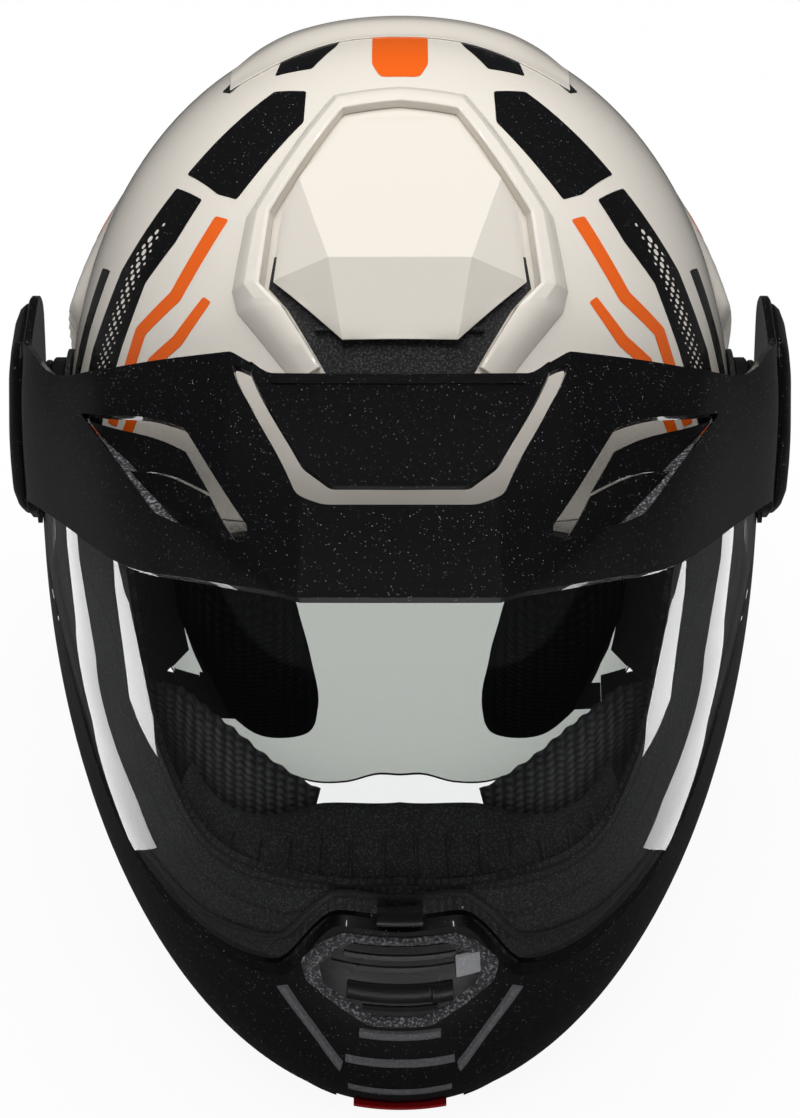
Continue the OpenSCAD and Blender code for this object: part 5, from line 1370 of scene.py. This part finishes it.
tab_shape = raised_strip(face_at, [(-13.1, 1.9), (-14.9, 1.5)], np.linspace(4.9, 7.1, 9), 0.3)
piece("chin_vent_tab", tab_shape, speckled_light, "chin_bar", sharp=30, rounding=0.3)

# %% Keel lines and scoop below the vent, grey as painted highlights
keel = [(-17.6, 9.9), (-20.6, 7.0), (-23.2, 4.7)]
keel_out = [(-18.3, 10.9), (-21.4, 7.5), (-24.3, 5.0)]
keel_section = ((0, 0.02), (0.15, 1.2), (0.5, 1.6), (0.85, 0.9), (1, 0.02))
steps = np.linspace(0, 2, 25)
line = [[on_skin(face_at, *(p * (1 - s) + q * s), h) for s, h in keel_section]
        for p, q in zip(spline(keel, steps), spline(keel_out, steps))]
keel_shape = pair(outward(sweep(line)))
chin_b = np.linspace(-4.5, 4.5, 31)
bow = 0.1 * np.abs(chin_b) / 4.5
bar_rows = [(-22.3 - bow, 0.05), (-22.45 - bow, 1.1), (-22.7 - bow, 1.3), (-22.95 - bow, 0.6),
            (-23.1 - bow, 0.05)]
bar = raised_strip(face_at, bar_rows, chin_b, 0.0)
lip_rows = [(-19.5, 0.05), (-19.6, 1.0), (-19.9, 1.4), (-20.2, 1.0), (-20.35, 0.05)]
lip = raised_strip(face_at, lip_rows, np.linspace(-3.4, 3.4, 25), 0.0)
crease_rows = [(-25.6, 0.03), (-25.9, 0.5), (-26.4, 0.03)]
crease = raised_strip(face_at, crease_rows, np.linspace(-4.2, 4.2, 25), 0.0)
# Their grey is a painted highlight: lighter lines where the black lacquer would catch the light
piece("chin_keel_painted_highlights", joined(keel_shape, bar, lip, crease), painted_highlight_grey, "chin_bar",
      sharp=24, rounding=0.2)

# %% Shield tab
tab_rows = [(-8.5, 2.0), (-8.75, 3.3), (-9.3, 3.5), (-9.75, 2.8), (-9.8, 0.4)]
lift_tab = raised_strip(face_at, tab_rows, np.linspace(-2.1, 2.1, 17), 0.06)
piece("shield_lift_tab", lift_tab, smooth_black, "face_shield", replaces=["shield_tab"],
      sharp=30, rounding=0.3)

# %% Release button
front_y = -CHIN_R * math.cos(math.asin((AXIS_H - 2) / CHIN_R)) + 1.5
nose_r = FACE_W * FACE_W / CHIN_R
xs = np.linspace(-15.9, 15.9, 33)


def button_layer(front, back, rows):
    """Closed block along the chin bar's nose, in rows of (height over the floor, share of the outline)."""
    edge = np.stack([xs, front_y + front + xs**2 / (2 * nose_r)], 1)
    outline = np.concatenate([edge, [[15.9, front_y + back], [-15.9, front_y + back]]])
    mid = outline.mean(0)
    return outward(sweep([[(*(mid + (p - mid) * k), z - AXIS_H) for p in outline] for z, k in rows]))


button_body = button_layer(0.0, 12.0, [(0.65, 0.985), (1.1, 1.0), (3.0, 1.0), (3.5, 0.975)])
button_lip = button_layer(-3.2, 8.0, [(0.45, 0.985), (0.7, 1.0), (1.45, 1.0), (1.7, 0.985)])
stem_corners = ((-12, front_y + 4), (12, front_y + 4), (12, front_y + 10), (-12, front_y + 10))
stem = sweep([[(x, y, z) for x, y in stem_corners] for z in (-AXIS_H + 3.2, -AXIS_H + 5.5)])
piece("release_push_button", joined(button_body, button_lip, outward(stem)), red_plastic, "release_button",
      replaces=["release_button"], sharp=30, rounding=0.25)

# %% [markdown]
# ## Hinge hubs
# The chin bar and the shield each end in a flat ring on the hinge pin. They are mostly hidden by the
# side covers, and show from the side once the chin bar is swung up.

# %% Hubs
chin_hub = turned([(CHIN_HUB_X, PIN_R + 0.06), (CHIN_HUB_X, HUB_R - 0.6), (CHIN_HUB_X + 0.6, HUB_R),
                   (CHIN_HUB_X + 4.2, HUB_R), (CHIN_HUB_X + 4.8, HUB_R - 0.6), (CHIN_HUB_X + 4.8, BOSS_R),
                   (POD_X - 0.1, BOSS_R), (POD_X - 0.1, 6.5), (POD_X - 2.3, PIN_R + 0.06)], 72)
piece("chin_bar_hubs", pair(chin_hub), smooth_black, "chin_bar", sharp=30)
shield_hub = turned([(SHIELD_HUB_X, BOSS_R + 0.06), (SHIELD_HUB_X, HUB_R - 1.6),
                     (SHIELD_HUB_X + 0.6, HUB_R - 1), (SHIELD_HUB_X + 1.9, HUB_R - 1),
                     (SHIELD_HUB_X + 2.4, HUB_R - 1.5), (SHIELD_HUB_X + 2.4, BOSS_R + 0.06)], 72)
piece("shield_hubs", pair(shield_hub), smooth_black, "face_shield", sharp=30)
VISOR_W = POCKET_X - 7
visor_hub = turned([(VISOR_W - 3.5, 3.06), (VISOR_W - 3.5, 10.7), (VISOR_W - 3.1, 11), (VISOR_W - 0.4, 11),
                    (VISOR_W, 10.7), (VISOR_W, 3.06)], 40)
piece("inner_visor_hubs", pair(visor_hub), smooth_black, "sun_visor", sharp=30)
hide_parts("chin_bar_shell")

# %% [markdown]
# ## Rubber edges and liners
# The bottom edge of the shell sits in a rubber channel that follows the rim. Between shell and foam
# there is a slot for the inner visor. A fabric skirt closes the slot at the bottom, as in
# a real helmet, and stops light from shining up through it. Two panels of ribbed cloth stand on the
# chin bar's foam and fill the gap in front of the cheek pads.


# %% Edge trim of the shell
def rim_radius(f, h, depth):
    d = rim_dir(f, h, shell_at)
    p = d * (shell_at(d) - depth)[..., None]
    return np.hypot(p[..., 0], p[..., 1])


def round_the_rim(f, section):
    """Closed sweep along plan directions f; a section row is (radius array, height)."""
    out = np.stack([np.cos(np.radians(f)), np.sin(np.radians(f)), 0 * f], 1)
    rings = np.stack([out * r[:, None] + [0, 0, z] for r, z in section], 1)
    return outward(sweep(rings))


f = np.linspace(corner_f + 0.6, 180 - corner_f - 0.6, 240)
a = rim_radius(f, AXIS_H - 3, 0) + 0.3
a_top = rim_radius(f, AXIS_H - 9, 0) + 0.3 + 0.5 * ramp(np.sin(np.radians(f)), 0.55, 0.8)
b = rim_radius(f, AXIS_H - 3, SHELL_T) - 0.6
b_top = np.minimum(b, rim_radius(f, AXIS_H - 9, SHELL_T) - 0.6)
base_z = -AXIS_H
trim = round_the_rim(f, [(a + 0.5, base_z + 0.05), (b - 0.5, base_z + 0.05), (b - 1.3, base_z + 0.9),
                         (b_top - 1.3, base_z + 7.6), (b_top - 0.9, base_z + 8.0), (b_top, base_z + 8.0),
                         (b, base_z + 2.7), (a, base_z + 2.7), (a_top, base_z + 9),
                         (a_top + 0.9, base_z + 8.9), (a_top + 1.3, base_z + 8.4), (a + 1.3, base_z + 0.9)])
piece("shell_edge_rubber", trim, seal_rubber, "shell",
      replaces=["shell_edge_trim"], sharp=50)

# %% Skirt between foam and shell
f = np.linspace(corner_f + 3, 180 - corner_f - 3, 200)
foam_h = AXIS_H - 17
d = rim_dir(f, foam_h, foam_outer_at)
inner_r = np.hypot(*(d * (foam_outer_at(d) - 6.0)[..., None]).T[:2])
outer_r = rim_radius(f, foam_h, SHELL_T) - 0.4
skirt = round_the_rim(f, [(inner_r, -foam_h - 0.4), (outer_r, -foam_h - 0.4), (outer_r, -foam_h - 2.2),
                          ((inner_r + outer_r) / 2, -foam_h - 3.4), (inner_r, -foam_h - 2.4)])
piece("slot_skirt", skirt, ribbed_cloth, "shell", sharp=40)

# %% Chin trim and chin foam
b = np.linspace(5.2, 40.5, 90)
a = chin_low(b)
p, q = on_skin(face_at, a, b, 0.0), on_skin(face_at, a, b, -CHIN_T)
out = np.stack([p[:, 0], p[:, 1], 0 * a], 1)
out /= np.linalg.norm(out, axis=1)[:, None]
ro, ri = np.hypot(p[:, 0], p[:, 1]), np.hypot(q[:, 0], q[:, 1]) - 0.5
CHIN_Z0 = -(AXIS_H - 2)
trim_section = ((ro + 0.3, CHIN_Z0 - 0.7), (ro + 0.1, CHIN_Z0 - 0.9), (ri - 0.8, CHIN_Z0 - 0.9),
                (ri - 1.0, CHIN_Z0 - 0.6), (ri - 1.0, CHIN_Z0 + 4.2), (ri - 0.7, CHIN_Z0 + 4.5),
                (ri, CHIN_Z0 + 4.5), (ri, CHIN_Z0 - 0.12), (ro + 0.3, CHIN_Z0 - 0.12))
rings = np.stack([out * r[:, None] + [0, 0, z] for r, z in trim_section], 1)
piece("chin_edge_rubber", pair(outward(sweep(rings))), seal_rubber, "chin_bar",
      replaces=["chin_bar_trim"], sharp=50)
b = strip(33, 120)
low_a, high_a = chin_low(b) + 3, curve(shield_low, np.abs(b)) - 5.5
shares = np.concatenate([[0], np.linspace(0.06, 0.94, 16), [1.0]])
edge_in = np.minimum(1, np.minimum(shares, 1 - shares) / 0.06)
outer = np.stack([on_skin(face_at, low_a + (high_a - low_a) * s, b,
                          -CHIN_T - 2.2 - RECESS * ramp(s, 0.5, 0.75)) for s in shares])
thick = [2.2 + RECESS * ramp(s, 0.5, 0.75) + 15.5 * (1 - 0.8 * (s - 0.5) ** 2) * (0.75 + 0.25 * e)
         for s, e in zip(shares, edge_in)]
inner = np.stack([on_skin(face_at, low_a + (high_a - low_a) * s, b, -CHIN_T - t)
                  for s, t in zip(shares, thick)])
piece("chin_impact_foam", outward(skin(outer, inner)), foam_black, "chin_bar",
      replaces=["chin_bar_foam"], sharp=40, rounding=1.2)

# %% Cloth panels beside the chin, and the brow seal
rise, span = np.meshgrid(np.linspace(0, 1, 19), np.linspace(0, 1, 61), indexing="ij")
near_b = 12.4 - 3.4 * rise
curtain_b = near_b + (42 - near_b) * span
low_edge = curve(shield_low, curtain_b) - 8.5
top_edge = curve([(9, -4.3), (16, -3.0), (22, -2.0), (31, -2.5), (42, -7.0)], curtain_b)
curtain_a = low_edge + np.maximum(top_edge - low_edge, 1.0) * rise
fold = 0.5 * np.sin(curtain_b * 2.6) * rise
edge = np.minimum(1, np.minimum(np.minimum(rise, 1 - rise) / 0.1, np.minimum(span, 1 - span) / 0.03))
half = 0.5 + 1.1 * np.sqrt(1 - (1 - edge) ** 2)
sheet_h = fold - 24.5 + 9.5 * ramp(curtain_b, 29, 42)
right_curtain = outward(skin(on_skin(face_at, curtain_a, curtain_b, sheet_h + half),
                             on_skin(face_at, curtain_a, curtain_b, sheet_h - half)))
piece("chin_side_curtain", pair(right_curtain), ribbed_cloth, "chin_bar", sharp=60)
b = strip(34, 140)
brow_line = [(0, 26), (12, 25.3), (25, 22.5), (38.6, 16), (48.5, 3)]
line_a = curve(brow_line, np.abs(b)) + 0.3
outer = np.stack([on_skin(face_at, line_a + r, b, -SHIELD_T - k)
                  for r, k in ((0, 1.0), (0.3, 0.45), (1.2, 0.4), (2.4, 1.2), (3, 2.4))])
inner = np.stack([on_skin(shell_at, line_a + r, b, 0.15) for r in (0, 0.3, 1.2, 2.4, 3)])
piece("brow_seal", outward(skin(outer, inner)), seal_rubber, "shell",
      replaces=["brow_gasket"], sharp=40)

# %% Rubber edging round the eyeport
t = np.linspace(0, len(opening_edge) - 1, 300)
right = spline(opening_edge, t)
loop = np.concatenate([right, (right * [1, -1])[-2::-1]])
rings = []
for k, (a, bb) in enumerate(loop):
    ahead = loop[min(k + 1, len(loop) - 1)] - loop[max(k - 1, 0)]
    c = math.cos(math.radians(bb))
    n = np.array([ahead[1], -ahead[0]]) / max(np.hypot(ahead[0], ahead[1] * c), 1e-9)
    n = n * [c, 1 / max(c, 0.3)] * 0.42
    section = [(1.1, -SHELL_T - 1.0), (-1.2, -SHELL_T - 1.2), (-1.6, -SHELL_T / 2), (-1.2, 0.9), (1.1, 0.8),
               (1.1, 0.05), (-0.2, 0.05), (-0.2, -SHELL_T - 0.05), (1.1, -SHELL_T - 0.05)]
    rings.append([on_skin(shell_at, a + n[0] * s, bb + n[1] * s, h) for s, h in section])
piece("eyeport_rubber", outward(sweep(rings)), seal_rubber, "shell", sharp=50)

# %% [markdown]
# ## Padding
# The pads are fabric over soft foam. Each one starts as its solid in the frame, rebuilt with even faces and
# a little shrunk. A cloth solver then blows it up from inside, which gives the taut belly and the soft
# edges of a stuffed cushion. Seams are pressed in afterwards, where a sewing line would pull.


# %% Cushions
def baked(obj):
    bpy.context.view_layer.update()
    return bpy.data.meshes.new_from_object(obj.evaluated_get(bpy.context.evaluated_depsgraph_get()))


def coordinates(mesh):
    values = np.empty(len(mesh.vertices) * 3)
    mesh.vertices.foreach_get("co", values)
    return values.reshape(-1, 3)


def normals(mesh):
    values = np.empty(len(mesh.vertices) * 3)
    mesh.vertex_normals.foreach_get("vector", values)
    return values.reshape(-1, 3)


def cushion(node, name, finish, cap, seams, shrink=0.8, voxel=0.004):
    """Stuffed copy of a soft solid: seams are functions of a point that give a distance in millimetres."""
    source = frame["nodes"][node]
    mesh = source.data.copy()
    mesh.transform(source.matrix_world)
    mesh.materials.clear()
    obj = bpy.data.objects.new(name, mesh)
    scene.collection.objects.link(obj)
    remesh = obj.modifiers.new("even_faces", "REMESH")
    remesh.mode = "VOXEL"
    remesh.voxel_size = voxel
    soften = obj.modifiers.new("soften", "SMOOTH")
    soften.iterations = 6
    mesh = baked(obj)
    obj.modifiers.clear()
    obj.data = mesh
    start = coordinates(mesh) - normals(mesh) * shrink * 0.001
    mesh.vertices.foreach_set("co", start.ravel())
    mesh.update()
    end = start
    filling = obj.modifiers.new("filling", "CLOTH")
    filling.settings.use_pressure = True
    filling.settings.uniform_pressure_force = 4.0
    filling.settings.quality = 6
    filling.settings.mass = 0.25
    filling.settings.tension_stiffness = 20.0
    filling.settings.compression_stiffness = 20.0
    filling.settings.bending_stiffness = 0.4
    filling.settings.effector_weights.gravity = 0.0
    filling.point_cache.frame_start, filling.point_cache.frame_end = 1, 20
    for number in range(1, 21):
        scene.frame_set(number)
    end = coordinates(baked(obj))
    obj.modifiers.clear()
    scene.frame_set(1)
    move = end - start
    length = np.maximum(np.linalg.norm(move, axis=1), 1e-9)
    move *= np.minimum(1, cap * 0.001 / length)[:, None]
    mesh.vertices.foreach_set("co", (start + move).ravel())
    mesh.update()
    finer = obj.modifiers.new("finer", "SUBSURF")
    finer.levels = finer.render_levels = 1
    mesh = baked(obj)
    obj.modifiers.clear()
    obj.data = mesh
    points, outward_n = coordinates(mesh), normals(mesh)
    local = (points - np.array(hinge)) * 1000
    depth = np.zeros(len(points))
    for seam in seams:
        depth = np.maximum(depth, 1.5 * np.exp(-((seam(local) / 1.5) ** 2)))
    wave = 0.22 * np.sin(local[:, 0] * 0.31 + 1.7 * np.sin(local[:, 1] * 0.11))
    wave = wave * np.sin(local[:, 2] * 0.23 + local[:, 1] * 0.17)
    mesh.vertices.foreach_set("co", (points - outward_n * ((depth - wave) * 0.001)[:, None]).ravel())
    mesh.update()
    mesh.materials.clear()
    mesh.materials.append(finish)
    mesh.shade_smooth()
    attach(obj, "shell")
    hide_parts(node)
    print(f"{name}: {len(mesh.polygons)} faces, blown up by {1000 * length.mean():.1f} mm on average")
    return obj


cheek_seams = [lambda p: p[:, 1] + 55 - 0.25 * (p[:, 2] + 50), lambda p: p[:, 1] - 14 + 0.2 * (p[:, 2] + 50),
               lambda p: np.where(p[:, 1] < -50, 99, p[:, 2] + 78 + 0.1 * p[:, 1])]
cushion("cheek_pad_right", "cheek_cushion_right", ribbed_cloth, 2.2, cheek_seams)
cushion("cheek_pad_left", "cheek_cushion_left", ribbed_cloth, 2.2, cheek_seams)
crown_seams = [lambda p: np.abs(p[:, 0]) - 24 - 0.06 * np.abs(p[:, 1]),
               lambda p: np.where(np.abs(p[:, 0]) > 24, p[:, 1] - 30, 99),
               lambda p: np.where(np.abs(p[:, 0]) < 24, np.abs(p[:, 1] - 6) - 44, 99)]
cushion("crown_pad", "crown_cushion", mesh_cloth, 1.6, crown_seams, shrink=0.6)
roll_seams = [lambda p: np.abs(np.degrees(np.arctan2(p[:, 1], np.abs(p[:, 0]))) - 62) * 1.4]
cushion("neck_roll", "neck_cushion", ribbed_cloth, 1.2, roll_seams, shrink=0.5, voxel=0.003)

# %% [markdown]
# ## Chin strap
# The strap is flat webbing, so it is swept directly along its route. Two rows of stitches hold it where
# it is folded over the anchor plate.

# %% Webbing
STRAP_X, STRAP_Z, STRAP_W, STRAP_T = SKIRT_W - 20, 7 - AXIS_H, 20.0, 3.4
route = np.array([(STRAP_X, -8, STRAP_Z + 3), (STRAP_X - 8, -10, STRAP_Z + 0.5),
                  (STRAP_X - 18, -14, STRAP_Z), (STRAP_X - 30, -18, STRAP_Z)])
path_p = spline(route, np.linspace(0, 3, 60))
along = np.gradient(path_p, axis=0)
along[:, 1] = 0
along /= np.linalg.norm(along, axis=1)[:, None]
up = np.stack([along[:, 2], 0 * along[:, 0], -along[:, 0]], 1)
up *= np.sign(up[:, 2:])
angles = np.radians(np.arange(20) * 18)
round_section = [(math.copysign(abs(math.cos(q)) ** 0.35, math.cos(q)),
                  math.copysign(abs(math.sin(q)) ** 0.6, math.sin(q))) for q in angles]
rings = [[path_p[k] + [0, y * STRAP_W / 2, 0] + up[k] * z * STRAP_T / 2 for y, z in round_section]
         for k in range(len(path_p))]
strap_shape = outward(sweep(rings))
stitch_section = ((-0.35, -0.2), (0.35, -0.2), (0.2, 0.25), (-0.2, 0.25))
stitches = []
for k in range(4, 52, 4):
    for y in (-7.0, 7.0):
        c = path_p[k] + [0, y, 0] + up[k] * (STRAP_T / 2)
        stitches.append(outward(sweep([[c + along[k] * s + [0, w, 0] + up[k] * h for w, h in stitch_section]
                                       for s in (-1.2, 1.2)])))
right_strap = joined(strap_shape, *stitches)
piece("chin_strap_right", right_strap, webbing, "shell", replaces=["strap_right"], sharp=40)
piece("chin_strap_left", mirrored(right_strap), webbing, "shell", replaces=["strap_left"],
      sharp=40)

# %% [markdown]
# ## Lamps for the shield alone
# The low strips are there for the long white reflections down both sides of the shield. Light linking
# keeps them off the peak's arms.

# %% Light linking
shield_only = bpy.data.collections.new("shield_only")
shield_only.objects.link(shield)
for low in low_lamps:
    low.light_linking.receiver_collection = shield_only
print(len(low_lamps), "lamps shine on the shield alone")

# %% Finishes for the CAD nodes that stay
node_finish = {"shell_edge_trim": seal_rubber, "brow_gasket": seal_rubber, "shield_gasket": seal_rubber,
               "chin_bar_trim": seal_rubber, "chin_bar_foam": foam_black, "chin_bar_shell": black_lacquer,
               "crown_pad": mesh_cloth, "cheek_pad_left": ribbed_cloth, "cheek_pad_right": ribbed_cloth,
               "neck_roll": ribbed_cloth, "top_vent_base": cream_vent, "top_vent_cover": cream_vent,
               "rear_spoiler": cream_vent, "rear_exhaust_vent": grained_black, "strap_left": webbing,
               "strap_right": webbing, "release_button": red_plastic, "buckle_lever": red_plastic,
               "peak": black_lacquer, "peak_side_covers": black_lacquer, "peak_air_guide": black_lacquer}
steel_nodes = ["hinge_screws", "lock_pins", "strap_anchors", "latch_hook_left", "latch_hook_right",
               "latch_pivots", "peak_screws"]
for name, obj in frame["nodes"].items():
    finish = steel if name in steel_nodes else node_finish.get(name, grained_black)
    obj.data.materials.clear()
    obj.data.materials.append(finish)
